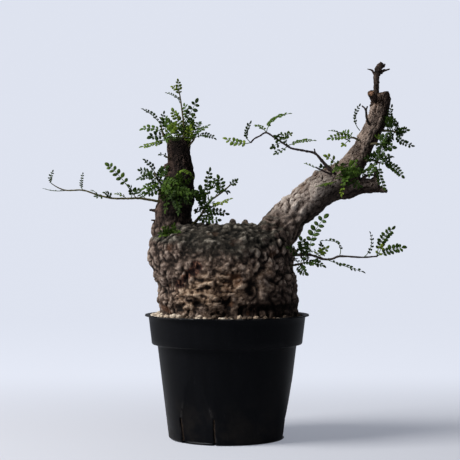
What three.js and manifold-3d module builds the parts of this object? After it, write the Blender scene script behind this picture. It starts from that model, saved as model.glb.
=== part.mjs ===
// A potted bonsai of Operculicarya pachypus: a knobbly swollen trunk base with a sawn-off stem on the left,
// a thick limb that rises to the right, and small pinnate leaves in tufts and on long shoots, in a black
// nursery pot of fine pumice. Millimetres, +Z up, +X to the right and -Y towards the viewer. The origin is
// the middle of the pot's underside.

import * as THREE from "three";
import { mergeVertices } from "three/addons/utils/BufferGeometryUtils.js";
import Module from "manifold-3d";

// Pot
const POT_HEIGHT = 113;
const WALL = 1.2;
const FLOOR = 1.6;
const BASE_RADIUS = 53;
const BASE_CHAMFER = 1.5;
const COLLAR_BOTTOM = 86;
const COLLAR_ROUNDING = 1.2;
const BODY_TOP_RADIUS = 63.6;
const COLLAR_BOTTOM_RADIUS = 68.8;
const COLLAR_TOP_RADIUS = 71.8;
const LIP_RADIUS = 75;
const POT_SIDES = 36;
const PANEL_ANGLES = [-120, 0, 120].map(THREE.MathUtils.degToRad);
const PANEL_HALF_ANGLE = THREE.MathUtils.degToRad(20);
const PANEL_TOP = 60;
const PANEL_BLOCK = { deep: 30, wide: 80, tall: 90 };
const SLIT_WIDTH = 2.2;
const SLIT_DEPTH = 14;
const SLIT_HEIGHT = 23.5;
const SLIT_ANGLE = THREE.MathUtils.degToRad(18.3);

// Soil and its top layer of pumice grains
const TOUCH_GAP = 0.3;
const PIT_GAP = 0.9;
const PIT_MOUTH_GAP = 2.6;
const PIT_SHARES = [0, 0.08, 0.16, 0.23, 0.31];
const PIT_SIDES = 32;
const SOIL_TOP = 110;
const SOIL_SLOPE = 1.6;
const GRAIN_COUNT = 40;
const GRAIN_SIZE = [3, 4.4];

// Caudex: height, half width, half depth and sideways shift of its level sections, from buried foot to crown
const CAUDEX_LEVELS = [
  [82, 45, 39, 1],
  [92, 55, 47, 1],
  [103, 60.5, 51.5, 1.5],
  [113, 63.5, 53, 1.5],
  [124, 65.4, 55, 1.6],
  [135, 64.4, 54.5, 0.6],
  [144, 65, 55, -0.8],
  [153, 65, 54.5, -3],
  [162, 66, 55, -4.5],
  [172, 67, 54, -4.5],
  [180, 65.2, 50, -4.5],
  [187, 59, 43, -4.5],
  [193, 45, 31, -5],
  [195.5, 25, 17, -5],
];
const CAUDEX_SIDES = 46;
const CAUDEX_RINGS = 19;
const CAUDEX_WAIST = 148;
const CAUDEX_SQUARENESS = 2.4;
const KNOB_COUNT = 330;
const KNOB_RADIUS = 8.5;
const KNOB_HEIGHT = 6;
const KNOB_MEAN = 2;
const KNOBS_FADE = [111, 121];
// How far the skin above the waist faces up, for each mm of height
const CROWN_LEAN = 1.2;

// Limbs are rows of x, y, z and radius.
const SAWN_STEM = [
  [-47, 3, 170, 21],
  [-49.5, 2, 186, 18.6],
  [-49.5, 2, 200, 17.2],
  [-48.5, 2, 210, 17],
  [-46, 2, 220, 16.6],
  [-43.5, 2, 230, 14.6],
  [-42, 2, 240, 12.4],
  [-42.5, 2, 250, 10.8],
  [-44.5, 2, 262, 10.8],
  [-43.5, 2, 275, 11.2],
];
const GREAT_LIMB = [
  [34, 0, 172, 24],
  [46, 0, 187, 19.5],
  [58, 0, 202, 16],
  [71, 0, 211.5, 15.4],
  [84, -1, 222, 15.4],
  [97, -1, 231, 14.6],
  [109, -1, 239, 13],
  [117, 0, 248, 11.4],
  [121.7, 0, 257, 9.8],
  [125.5, 0, 265, 9],
  [129.5, 1, 275, 8.6],
  [134, 1, 283, 8.8],
  [138.4, 2, 297, 9],
  [141, 2, 307, 9],
  [143, 2, 322, 9],
];
const LIMB_SAW_CUT = { x: 142, y: 2, z: 314, lean: THREE.MathUtils.degToRad(-8) };
const BROKEN_FORK = [
  [98, 0, 228, 12],
  [112, 1, 229, 9.6],
  [122, 2, 230.5, 7.2],
  [130, 3, 230.5, 7.2],
  [136, 3, 229, 5.2],
  [140, 3, 227.3, 2.8],
  [147, 3, 226.5, 2],
];
const TOP_TWIG = [
  [135, 0, 303, 4.4],
  [136, 0, 313, 3.2],
  [136.6, 0, 322, 2.6],
  [136.7, 0, 332, 2.6],
  [138.5, 0, 337, 3],
  [141.8, 0, 343.5, 2],
];
const BARE_TWIGS = [
  TOP_TWIG,
  [[134, 3, 229, 5], [136.5, 3, 238, 2.8], [136, 3, 247, 1.4]],
  [[121, -3, 235, 1.6], [129, -4, 240, 1.1], [137, 1, 240, 0.9]],
  [[136.5, 0, 331, 1.6], [132.5, 0, 336, 1], [128.5, 0, 337.5, 0.5]],
  [[138.5, 0, 333, 1.8], [143, 0, 336, 1.2], [149, 0, 337.3, 0.5]],
  [[136, -1, 308, 3.2], [131.3, -3, 317, 2.9]],
  [[131, -5, 286, 1.3], [128, -8, 291, 1], [126.8, -9, 300, 0.8], [123.3, -9, 303.7, 0.6]],
  [[126.8, -9, 299, 0.8], [128.6, -9, 303.3, 0.6]],
  [[-60, -2, 206, 2.4], [-71, -2, 208.3, 1.2]],
];
const BURLS = [
  [-55.2, -3, 248, 3.4],
  [-55, -2, 241, 2.8],
  [5.5, -3, 197, 4.8],
  [17.5, -2, 195.5, 4.6],
  [82, -4, 238, 5],
];
const STEM_SIDES = 14;
const STEM_STEPS = 14;
const LIMB_SIDES = 12;
const LIMB_STEPS = 25;
const FORK_SIDES = 8;
const FORK_STEPS = 8;
const BARE_TWIG_SIDES = 4;
const LEAFY_TWIG_SIDES = 3;
const BARK_ROUGHNESS = 0.2;

// Leafy shoots. Twigs are rows of x, y, z and radius. A leaf is its root, middle and tip (x, y, z each), its
// number of leaflet pairs and leaflet length. A last number, if there is one, is the roll of the blade in
// degrees: at 0 it faces the viewer.
const RIB_HALF_WIDTH = 0.5;
const RIB_THICKNESS = 1;
const ROOT_SIZE = 0.4;
const LEAFLET_THICKNESS = 0.75;
const BARE_STALK = 0.22;
const LEAFLET_LEAN = THREE.MathUtils.degToRad(26);
const LEAFLET_LIFT = THREE.MathUtils.degToRad(14);
const LEAFLET_PITCH_SHARE = 0.78;
const LEAFLET_SLENDERNESS = 0.85;
// Outer corners of a leaflet: shares of its length along it and of its width aside
const SIDE_LEAFLET = [[0.5, -0.55], [1, 0.1]];
const END_LEAFLET = [[0.45, 0.5], [1, 0], [0.45, -0.5]];

const SPRAYS = {
  crown_tall_shoot: {
    twigs: [[[-39, -3, 270, 1.4], [-39.5, -4, 285, 1.2], [-40.5, -4, 297, 1], [-42, -4, 308, 0.8]]],
    leaves: [
      [-42, -4, 307, -44, -5, 317, -48, -6, 328, 2, 5.5],
      [-41, -4, 302, -46, -3, 310, -58, 0, 317, 3, 5],
      [-39.5, -4, 286, -32.5, -6, 298, -25, -8, 312, 3, 6],
      [-39.5, -4, 284, -46, -9, 292, -50, -12, 302, 3, 5.5],
      [-40, -3, 290, -37, 5, 299, -40, 11, 309, 3, 5.5],
    ],
  },
  crown_left_spray: {
    twigs: [[[-49, -3, 266, 1.4], [-56, -6, 273, 1.3], [-59, -6, 279, 1.1], [-60.5, -6, 286, 0.9]]],
    leaves: [
      [-60, -6, 285, -68, -5, 295, -79, -4, 302, 3, 6],
      [-58.5, -6, 279, -69, -8, 284.5, -81, -9, 283, 3, 5.5],
      [-56, -6, 274, -66, -7, 270, -81, -7, 266.5, 3, 5.5],
      [-57, -6, 275, -65, -11, 277, -72, -15, 274, 2, 5],
      [-57, -6, 276, -51, -13, 282, -47, -18, 288, 2, 5.5],
    ],
  },
  crown_right_spray: {
    twigs: [[[-37, -2, 265, 1.4], [-31, -6, 272, 1.2], [-29, -7, 277, 1]]],
    leaves: [
      [-31, -6, 273, -21, -8, 277.5, -10, -9, 273, 3, 5.5],
      [-29, -7, 277, -24, -6, 283, -16, -5, 288, 3, 5.5],
      [-30, -6.5, 274, -25, -13, 270, -21, -18, 264, 2, 5.5],
      [-30, -6.5, 275, -28, -1, 283, -24, 4, 291, 2, 5.5],
    ],
  },
  crown_back_spray: {
    twigs: [[[-44, 8, 262, 1.4], [-44, 15, 269, 1.2], [-44, 18, 277, 1]]],
    leaves: [
      [-44, 18, 276, -52, 22, 285, -60, 25, 292, 3, 5.5, 150],
      [-44, 18, 276, -38, 24, 284, -31, 28, 290, 3, 5.5, 190],
      [-44, 16, 271, -34, 23, 270, -25, 28, 265, 2, 5.5, 200],
    ],
  },
  stem_leaf: {
    twigs: [[[-50, -3, 255.5, 1.2], [-56.5, -5, 257, 1]]],
    leaves: [[-56, -5, 257, -61, -6, 259, -68, -7, 257.5, 2, 4.5]],
  },
  stem_left_spray: {
    twigs: [[[-51, -5, 224, 1.8], [-59, -9, 231, 1.5], [-64, -11, 237, 1.2], [-66.5, -11, 243, 1]]],
    leaves: [
      [-66, -11, 242, -70, -12, 249, -77, -13, 256, 3, 5.5],
      [-65.5, -11, 240, -73, -8, 244, -82, -5, 246, 3, 5.5],
      [-64, -11, 237, -73, -14, 238, -84, -16, 236, 3, 6],
      [-61, -10, 233.5, -69, -16, 231, -78, -21, 227, 3, 6],
      [-59, -9, 231, -67, -10, 225.5, -76, -13, 223.5, 2, 5],
      [-64.5, -11, 238, -59, -17, 244, -52, -20, 249, 3, 6],
      [-60, -9.5, 232, -56, -19, 229, -50, -25, 223, 2, 6],
      [-62, -10, 235, -53, -19, 237, -45, -22, 239, 2, 6],
    ],
  },
  long_left_shoot: {
    twigs: [
      [
        [-56, -3, 214.5, 1.8],
        [-66, -5, 216.8, 1.6],
        [-80, -7, 219, 1.4],
        [-92, -8, 218.8, 1.3],
        [-105, -9, 219, 1.2],
        [-118, -9, 222, 1.1],
        [-131.5, -8, 226, 1],
        [-147, -6, 226.3, 0.9],
        [-155, -6, 228.3, 0.8],
      ],
    ],
    leaves: [
      [-154.5, -6, 228, -161.5, -8, 237, -159, -10, 248, 3, 5.5],
      [-154, -6, 228, -161, -4, 226.5, -169, -3, 228, 2, 4.5],
      [-131.5, -8, 226, -134, -9, 235, -131.5, -10, 245, 3, 5],
      [-83, -7, 219.2, -96, -11, 237, -111, -14, 251, 3, 7],
      [-88, -8, 219, -88, -13, 229, -93, -17, 238, 2, 6],
      [-80, -7, 219, -77, -12, 210, -73, -16, 203, 2, 5],
      [-105, -9, 219, -109, -14, 223, -115, -18, 225, 2, 5],
      [-118, -9, 222, -124, -12, 218, -131, -14, 217.5, 2, 4.5],
      [-112, -9, 220.5, -112, -3, 228, -116, 2, 235, 2, 5],
      [-74, -6, 218, -79, 1, 223, -86, 6, 229, 3, 5.5],
    ],
  },
  stem_right_spray: {
    twigs: [
      [
        [-33, -6, 193, 2],
        [-25, -11, 202, 1.7],
        [-20, -13, 210, 1.5],
        [-15, -14, 217, 1.3],
        [-6, -14, 223.5, 1.1],
        [4, -13, 232, 0.9],
      ],
    ],
    leaves: [
      [3, -13, 231, 8, -13, 236, 15, -12, 239, 2, 5],
      [-16, -14, 216, -18, -15, 231, -15, -17, 247, 3, 6],
      [-8, -14, 222, -6, -18, 231, -9, -21, 240, 2, 5],
      [-19, -13, 212, -24, -15, 220, -24, -17, 231, 2, 7],
      [-18, -13.5, 213, -7, -17, 213.5, 7, -18, 219, 3, 6],
      [-24, -11.5, 204, -12, -17, 207, 2, -18, 204, 3, 6],
      [-26, -10.5, 201, -16, -21, 199, -3, -26, 197, 3, 6],
      [-11, -14, 220, -5, -7, 226, 3, -2, 224, 2, 5.5],
    ],
  },
  foot_tuft: {
    twigs: [[[-52, -14, 181, 2], [-52, -23, 186, 1.6], [-52, -28, 188, 1.3]]],
    leaves: [
      [-52, -27, 187.5, -58, -31, 190, -65, -34, 190, 2, 5],
      [-52, -27.5, 188, -56, -31, 195, -61, -34, 200, 2, 5],
      [-52, -28, 188, -48, -31, 194, -46, -33, 200, 2, 5],
      [-52, -27, 187.5, -45, -31, 189, -38, -34, 190, 2, 5],
    ],
  },
  long_upper_twig: {
    twigs: [
      [
        [106, -6, 233, 3.4],
        [97.5, -12, 242, 2.6],
        [88, -15, 252, 1.9],
        [80.5, -17, 260, 1.5],
        [70, -18, 262.6, 1.3],
        [60, -18, 264.5, 1.2],
        [55, -18, 267, 1.3],
        [45, -17, 273.5, 1.1],
        [36, -16, 279, 1.1],
        [30, -16, 276, 0.95],
        [25, -15, 273.5, 0.9],
        [21.5, -15, 269.8, 1],
      ],
      [[80.8, -17, 259, 1.1], [79.8, -17, 264.5, 0.7]],
      [[99, -11, 240, 1.8], [90, -16, 243, 1.2], [81, -19, 247.5, 0.9]],
    ],
    leaves: [
      [36, -16, 279, 41, -18, 293, 62, -19, 297, 3, 6.5],
      [35.5, -16, 279, 31, -12, 286, 25, -9, 288, 2, 5],
      [21.5, -15, 270, 17, -18, 279, 23, -20, 291, 3, 6],
      [21.5, -15, 270, 10, -13, 269.5, -4, -11, 275, 3, 6],
      [26, -15, 274, 25, -22, 267, 23, -27, 260, 2, 5],
      [55, -18, 267, 67, -20, 271.5, 83, -20, 271.5, 3, 6.5],
      [56, -18, 266.5, 50, -22, 262, 43, -25, 259, 2, 5],
      [90, -14.5, 250, 92, -20, 259, 104, -23, 253, 3, 6],
      [82, -19, 247, 76, -21, 244, 69, -22, 243, 2, 4.5],
    ],
  },
  limb_left_spray: {
    twigs: [[[124, -3, 270, 1.6], [117, -7, 274, 1.3], [113, -8, 274.5, 1]]],
    leaves: [
      [114, -8, 274.5, 103, -10, 275, 89, -11, 273, 3, 6],
      [115, -7.5, 274.3, 110, -13, 269, 103, -16, 265, 2, 5.5],
      [116, -7.5, 274.5, 107, -8, 283, 93, -8, 284, 3, 6],
      [118, -6.5, 273.5, 114, -8, 290, 117, -10, 306, 3, 6],
      [115, -7.5, 274.3, 111, 1, 279, 104, 8, 283, 2, 5.5],
    ],
  },
  limb_right_upper_spray: {
    twigs: [[[138, -2, 281, 1.7], [150, -4, 280.5, 1.3], [155, -5, 279.5, 1]]],
    leaves: [
      [152, -4.5, 280.3, 157.5, -5, 293, 153, -6, 307, 3, 5.5],
      [154.5, -5, 279.6, 160.5, -6, 283, 168, -7, 286, 2, 5],
      [154, -5, 279.7, 160, -6, 271.5, 172, -7, 267, 3, 5.5],
      [151, -4.5, 280.3, 149, -14, 286, 147, -20, 293, 2, 5.5],
      [153, -4.5, 280, 158, 3, 281, 163, 9, 279, 3, 5.5],
    ],
  },
  limb_right_middle_spray: {
    twigs: [[[128, -4, 268, 1.6], [137, -9, 269, 1.3], [142, -10, 268, 1]]],
    leaves: [
      [139, -9.5, 268.7, 143, -13, 273, 147, -16, 279, 2, 5.5],
      [141, -10, 268.2, 147, -15, 267, 155, -19, 265, 2, 5.5],
      [140, -9.7, 268.5, 142, -18, 264, 143, -24, 259, 2, 5.5],
    ],
  },
  limb_right_lower_spray: {
    twigs: [[[121, -4, 253, 1.8], [133, -10, 254, 1.4], [140, -12, 251, 1.1]]],
    leaves: [
      [137, -11.2, 252.5, 144, -10, 256, 153, -8, 257, 2, 5.5],
      [139.5, -12, 251, 152, -14, 248, 162, -16, 237, 3, 5.5],
      [139.5, -12, 251, 140, -14, 239, 145, -16, 226, 3, 5.5],
      [134, -10.3, 253.7, 129, -17, 257, 124, -21, 262, 2, 6],
      [136, -11, 252.8, 133, -17, 246, 130, -21, 239, 2, 6],
    ],
  },
  limb_top_tuft: {
    twigs: [[[108, -6, 238, 1.9], [109, -14, 245, 1.6], [110, -17, 247, 1.3]]],
    leaves: [
      [109.5, -16, 246, 103, -21, 245, 96, -25, 242, 2, 5.5],
      [109.5, -16, 246, 111, -22, 252, 110, -27, 259, 2, 5],
      [110, -17, 247, 115, -18, 251, 119, -19, 257, 2, 5],
      [109, -15, 245, 108, -22, 239, 106, -26, 231, 2, 5.5],
    ],
  },
  lower_right_shoot: {
    twigs: [
      [
        [50, -12, 167, 1.9],
        [64, -22, 167.2, 1.7],
        [75, -23, 167.5, 1.5],
        [88, -23, 163.5, 1.4],
        [96, -22, 163.5, 1.3],
        [104, -22, 166, 1.2],
        [124, -20, 165, 1],
        [137.5, -19, 166, 0.9],
      ],
    ],
    leaves: [
      [90, -22.8, 163.5, 106, -25, 157.5, 127, -26, 151, 3, 6.5],
      [103, -22, 165.8, 101, -19, 178, 84, -17, 180, 3, 6],
      [125, -20, 165, 132, -21, 175, 130.5, -22, 189, 3, 5.5],
      [137, -19, 165.8, 142, -21, 181, 154, -22, 193, 3, 5.5],
      [137, -19, 165.8, 150, -17, 171.5, 164, -15, 174.5, 3, 5],
      [76, -23, 167.3, 79, -22, 186, 93, -20, 205, 3, 7.5],
      [80, -23, 166.3, 86, -30, 170, 93, -34, 175, 2, 5.5],
      [66, -22, 167.3, 69.5, -26, 175, 66, -28, 184, 3, 5.5],
    ],
  },
  lower_leaf_shoot: {
    twigs: [[[50, -14, 156, 1.7], [62, -22, 158, 1.4], [69, -24, 159.5, 1.1]]],
    leaves: [
      [67, -23.5, 159, 79, -27, 160, 90, -29, 156, 3, 5.5],
      [65, -23, 158.6, 68, -30, 154, 74, -35, 149, 2, 5],
    ],
  },
  stem_back_spray: {
    twigs: [[[-45, 12, 224, 1.9], [-42, 22, 230, 1.5], [-41, 27, 236, 1.2]]],
    leaves: [
      [-41, 26, 235, -50, 31, 241, -60, 33, 243, 3, 6, 160],
      [-41, 27, 236, -39, 31, 245, -34, 33, 254, 3, 6, 180],
      [-42, 22, 230, -46, 31, 226, -52, 37, 220, 2, 6, 160],
      [-42, 23, 231, -34, 31, 226, -27, 36, 219, 2, 6, 200],
    ],
  },
  limb_back_spray: {
    twigs: [[[92, 6, 228, 1.9], [91, 17, 234, 1.5], [92, 22, 240, 1.2]]],
    leaves: [
      [92, 21, 239, 83, 26, 245, 73, 28, 247, 3, 6, 160],
      [92, 22, 240, 93, 27, 249, 90, 29, 258, 3, 6, 180],
      [91.5, 20, 238, 101, 27, 242, 111, 30, 243, 3, 6, 200],
      [91, 18, 235, 98, 27, 231, 104, 33, 225, 2, 6, 200],
    ],
  },
  limb_upper_back_spray: {
    twigs: [[[136, 4, 288, 1.6], [138, 13, 292, 1.3], [139, 16, 297, 1]]],
    leaves: [
      [139, 16, 296, 133, 19, 304, 125, 20, 309, 3, 5.5, 170],
      [138, 13.5, 292.7, 131, 21, 290, 123, 25, 285, 2, 5.5, 160],
      [138, 13.5, 292.5, 146, 20, 289, 155, 24, 286, 2, 5.5, 200],
    ],
  },
};

// The outlines above were read along the lines of sight of an eye at this height and distance: a point at
// depth y stands on the line through its x and z in the plane of the pot's axis.
const EYE = { x: 2.7, z: 190, distance: 1300 };

// The side of a cutting block, larger than what it cuts away
const BEYOND = 200;

const GOLDEN_TURN = Math.PI * (3 - Math.sqrt(5));

const wasm = await Module();
wasm.setup();

// A repeatable random number from 0 to 1
function seededRandom(seed) {
  let state = seed;
  return () => {
    state = (state + 0x6d2b79f5) | 0;
    let mixed = Math.imul(state ^ (state >>> 15), 1 | state);
    mixed = (mixed + Math.imul(mixed ^ (mixed >>> 7), 61 | mixed)) ^ mixed;
    return ((mixed ^ (mixed >>> 14)) >>> 0) / 4294967296;
  };
}

function sighted(x, y, z) {
  const grow = 1 + y / EYE.distance;
  return new THREE.Vector3(EYE.x + (x - EYE.x) * grow, y, EYE.z + (z - EYE.z) * grow);
}

function solidFrom(geometry) {
  const bare = geometry.clone();
  bare.deleteAttribute("normal");
  bare.deleteAttribute("uv");
  const merged = mergeVertices(bare, 1e-4);
  return new wasm.Manifold(
    new wasm.Mesh({
      numProp: 3,
      vertProperties: new Float32Array(merged.attributes.position.array),
      triVerts: new Uint32Array(merged.index.array),
    }),
  );
}

function solidFromFaces(points, faces) {
  const geometry = new THREE.BufferGeometry().setFromPoints(points);
  geometry.setIndex(faces.flat());
  return solidFrom(geometry);
}

function geometryFrom(solid) {
  const { numProp, numVert, vertProperties, triVerts } = solid.getMesh();
  const positions = new Float32Array(numVert * 3);
  for (let i = 0; i < numVert; i += 1) {
    positions.set(vertProperties.subarray(i * numProp, i * numProp + 3), i * 3);
  }
  const geometry = new THREE.BufferGeometry();
  geometry.setAttribute("position", new THREE.BufferAttribute(positions, 3));
  geometry.setIndex(new THREE.BufferAttribute(new Uint32Array(triVerts), 1));
  geometry.computeVertexNormals();
  return geometry;
}

function union(solids) {
  return solids.reduce((sum, solid) => sum.add(solid));
}

// The largest piece of a solid: scraps that a cut leaves are dropped.
function largestPiece(solid) {
  return solid.decompose().reduce((best, piece) => (piece.volume() > best.volume() ? piece : best));
}

// A closed skin over rings of points, each anticlockwise as seen from the last one, with a fan on each end
function skin(rings, startPoint, endPoint) {
  const sides = rings[0].length;
  const points = [...rings.flat(), startPoint, endPoint];
  const start = points.length - 2;
  const end = points.length - 1;
  const last = (rings.length - 1) * sides;
  const faces = [];
  for (let j = 0; j < sides; j += 1) {
    const next = (j + 1) % sides;
    faces.push([start, next, j], [end, last + j, last + next]);
    for (let low = 0; low < last; low += sides) {
      const high = low + sides;
      faces.push([low + j, low + next, high + next], [low + j, high + next, high + j]);
    }
  }
  return solidFromFaces(points, faces);
}

// A limb, stem or twig: a rough section carried along a smooth line, with its radius changing from row to row
function limb(rows, sides, steps, { grow = 0, roughness = 0, random = () => 0.5 } = {}) {
  const curve = new THREE.CatmullRomCurve3(
    rows.map(([x, y, z]) => sighted(x, y, z)),
    false,
    "centripetal",
  );
  const frames = curve.computeFrenetFrames(steps, false);
  const rings = frames.normals.map((normal, i) => {
    const t = curve.getUtoTmapping(i / steps);
    const row = Math.min(Math.floor(t * (rows.length - 1)), rows.length - 2);
    const radius = THREE.MathUtils.lerp(rows[row][3], rows[row + 1][3], t * (rows.length - 1) - row);
    return Array.from({ length: sides }, (_, j) => {
      const angle = (2 * Math.PI * j) / sides;
      const rough = radius * (1 + roughness * (random() - 0.5)) + grow;
      return curve
        .getPoint(t)
        .addScaledVector(normal, rough * Math.cos(angle))
        .addScaledVector(frames.binormals[i], rough * Math.sin(angle));
    });
  });
  const beyond = (t, sign) => curve.getPoint(t).addScaledVector(curve.getTangent(t), sign * grow);
  return skin(rings, beyond(0, -1), beyond(1, 1));
}

// Pot

function revolved(profile) {
  const points = profile.map(([radius, height]) => new THREE.Vector2(radius, height));
  return solidFrom(new THREE.LatheGeometry(points, POT_SIDES).rotateX(Math.PI / 2));
}

// Everything beyond a flat leaning panel of the wall, moved inwards by inset. It cuts the cone in an arch.
function beyondPanel(angle, inset) {
  const foot = BASE_RADIUS * Math.cos(PANEL_HALF_ANGLE);
  const head = THREE.MathUtils.lerp(BASE_RADIUS, BODY_TOP_RADIUS, PANEL_TOP / COLLAR_BOTTOM);
  const { deep, wide, tall } = PANEL_BLOCK;
  const block = new THREE.BoxGeometry(deep, wide, tall).translate(deep / 2 - inset, 0, tall / 3);
  block.rotateY(Math.atan2(head - foot, PANEL_TOP)).translate(foot, 0, 0).rotateZ(angle);
  return solidFrom(block);
}

// The inside of the pot, smaller by gap all round, up to the given height
function potInside(gap, top) {
  const inset = WALL + gap;
  const room = revolved([
    [0, FLOOR + gap],
    [BASE_RADIUS - inset, FLOOR + gap],
    [BODY_TOP_RADIUS - inset, COLLAR_BOTTOM + WALL + gap],
    [COLLAR_BOTTOM_RADIUS - inset, COLLAR_BOTTOM + WALL + gap],
    [COLLAR_TOP_RADIUS - inset, top],
    [0, top],
  ]);
  return PANEL_ANGLES.reduce((rest, angle) => rest.subtract(beyondPanel(angle, inset)), room);
}

function makePot() {
  const outside = revolved([
    [0, 0],
    [BASE_RADIUS - BASE_CHAMFER, 0],
    [BASE_RADIUS, BASE_CHAMFER],
    [BODY_TOP_RADIUS, COLLAR_BOTTOM],
    [COLLAR_BOTTOM_RADIUS - COLLAR_ROUNDING, COLLAR_BOTTOM],
    [COLLAR_BOTTOM_RADIUS, COLLAR_BOTTOM + COLLAR_ROUNDING],
    [COLLAR_TOP_RADIUS, POT_HEIGHT - WALL],
    [LIP_RADIUS, POT_HEIGHT - WALL],
    [LIP_RADIUS, POT_HEIGHT],
    [0, POT_HEIGHT],
  ]);
  const panelled = PANEL_ANGLES.reduce((body, angle) => body.subtract(beyondPanel(angle, 0)), outside);
  const slits = PANEL_ANGLES.flatMap((angle) =>
    [-SLIT_ANGLE, SLIT_ANGLE].map((turn) => {
      const slit = new THREE.BoxGeometry(SLIT_DEPTH, SLIT_WIDTH, 2 * SLIT_HEIGHT);
      return solidFrom(slit.translate(BASE_RADIUS, 0, 0).rotateZ(angle + turn));
    }),
  );
  return slits.reduce((pot, slit) => pot.subtract(slit), panelled.subtract(potInside(0, POT_HEIGHT + 1)));
}

// Caudex

const caudexCurve = new THREE.CatmullRomCurve3(
  CAUDEX_LEVELS.map(([height, width, depth]) => new THREE.Vector3(width, depth, height)),
);

// A point of the smooth form of the caudex at a share of the way up its side, pushed out by a distance
function caudexPoint(share, angle, push = 0) {
  const t = caudexCurve.getUtoTmapping(share);
  const { x: width, y: depth, z: height } = caudexCurve.getPoint(t);
  const place = t * (CAUDEX_LEVELS.length - 1);
  const row = Math.min(Math.floor(place), CAUDEX_LEVELS.length - 2);
  const shift = THREE.MathUtils.lerp(CAUDEX_LEVELS[row][3], CAUDEX_LEVELS[row + 1][3], place - row);
  const rounded = (value) => Math.sign(value) * Math.abs(value) ** (2 / CAUDEX_SQUARENESS);
  const out = new THREE.Vector3(width * rounded(Math.cos(angle)), depth * rounded(Math.sin(angle)), 0);
  const point = new THREE.Vector3(shift, 0, height).add(out);
  out.z = CROWN_LEAN * Math.max(0, height - CAUDEX_WAIST);
  return point.addScaledVector(out.normalize(), push);
}

// Knobs stand on a sunflower spiral round the caudex, each with its own size.
function makeKnobs() {
  const random = seededRandom(11);
  return Array.from({ length: KNOB_COUNT }, (_, k) => ({
    place: caudexPoint((k + random()) / KNOB_COUNT, k * GOLDEN_TURN + 0.25 * random()),
    height: KNOB_HEIGHT * (0.35 + 0.65 * random()),
    radius: KNOB_RADIUS * (0.7 + 0.5 * random()),
  }));
}

const knobs = makeKnobs();

// The height of the knobs over the smooth form: the highest dome at that place, less about the mean
function knobRelief(point) {
  const domes = knobs.map(({ place, height, radius }) => {
    const near = 1 - place.distanceToSquared(point) / (radius * radius);
    return near > 0 ? height * Math.sqrt(near) : 0;
  });
  return (Math.max(...domes) - KNOB_MEAN) * THREE.MathUtils.smoothstep(point.z, ...KNOBS_FADE);
}

function makeCaudex(grow) {
  const rings = Array.from({ length: CAUDEX_RINGS }, (_, i) =>
    Array.from({ length: CAUDEX_SIDES }, (__, j) => {
      const share = i / (CAUDEX_RINGS - 1);
      const angle = (2 * Math.PI * (j + 0.5 * (i % 2))) / CAUDEX_SIDES;
      return caudexPoint(share, angle, knobRelief(caudexPoint(share, angle)) + grow);
    }),
  );
  const middle = (share) => caudexPoint(share, 0).add(caudexPoint(share, Math.PI)).divideScalar(2);
  return skin(rings, middle(0), middle(1));
}

// All the wood, which grew as one piece. With grow, the same shape a little larger, to cut what touches it
function makeWood(grow = 0) {
  const random = seededRandom(5);
  const bark = { grow, roughness: BARK_ROUGHNESS, random };
  const stem = limb(SAWN_STEM, STEM_SIDES, STEM_STEPS, bark);
  const tall = limb(GREAT_LIMB, LIMB_SIDES, LIMB_STEPS, bark);
  const fork = limb(BROKEN_FORK, FORK_SIDES, FORK_STEPS, bark);
  const beyondCut = new THREE.BoxGeometry(BEYOND, BEYOND, BEYOND).translate(0, 0, BEYOND / 2 + grow);
  beyondCut.rotateY(LIMB_SAW_CUT.lean).translate(LIMB_SAW_CUT.x, LIMB_SAW_CUT.y, LIMB_SAW_CUT.z);
  const twigs = BARE_TWIGS.map((rows) => limb(rows, BARE_TWIG_SIDES, rows.length, { grow }));
  const burls = BURLS.map(([x, y, z, radius]) => {
    const centre = sighted(x, y, z);
    return solidFrom(new THREE.IcosahedronGeometry(radius + grow, 0).translate(...centre));
  });
  return union([makeCaudex(grow), stem, tall.subtract(solidFrom(beyondCut)), fork, ...twigs, ...burls]);
}

// Soil

// The soil lies a little higher on the left.
function soilHeight(x) {
  return SOIL_TOP - (SOIL_SLOPE * x) / COLLAR_TOP_RADIUS;
}

// The plain pit that the buried foot of the caudex stands in, wider above the bed, where the knobs begin
function makePit() {
  const rings = PIT_SHARES.map((share, i) =>
    Array.from({ length: PIT_SIDES }, (_, j) => {
      const gap = i < PIT_SHARES.length - 1 ? PIT_GAP : PIT_MOUTH_GAP;
      const point = caudexPoint(share, (2 * Math.PI * j) / PIT_SIDES, gap);
      point.z -= i === 0 ? TOUCH_GAP : 0;
      return point;
    }),
  );
  const middle = (ring) => new THREE.Vector3(0, 0, ring[0].z);
  return skin(rings, middle(rings[0]), middle(rings[rings.length - 1]));
}

// Pumice grains between the pot's rim and the caudex, spread by golden turns and half sunk in the bed
function makeGrains() {
  const random = seededRandom(23);
  return Array.from({ length: GRAIN_COUNT }, (_, k) => {
    const angle = k * GOLDEN_TURN;
    const size = THREE.MathUtils.lerp(...GRAIN_SIZE, random());
    const reach = COLLAR_TOP_RADIUS - WALL - 1 - size;
    const caudexEdge = caudexPoint(0.3, angle).setZ(0).length();
    const radius = THREE.MathUtils.lerp(Math.min(caudexEdge + 1, reach), reach, Math.sqrt(random()));
    const grain = new THREE.OctahedronGeometry(size, 0);
    grain.scale(1, 0.8 + 0.3 * random(), 0.8).rotateX(random()).rotateZ(6.3 * random());
    const x = radius * Math.cos(angle);
    return solidFrom(grain.translate(x, radius * Math.sin(angle), soilHeight(x) + 0.25 * size));
  });
}

function makeSoil() {
  const above = new THREE.BoxGeometry(BEYOND, BEYOND, BEYOND).translate(0, 0, BEYOND / 2);
  above.rotateY(Math.atan2(SOIL_SLOPE, COLLAR_TOP_RADIUS)).translate(0, 0, SOIL_TOP);
  const bed = potInside(TOUCH_GAP, POT_HEIGHT + 6).subtract(solidFrom(above));
  return largestPiece(union([bed, ...makeGrains()]).subtract(makePit()));
}

// Leaves

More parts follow.
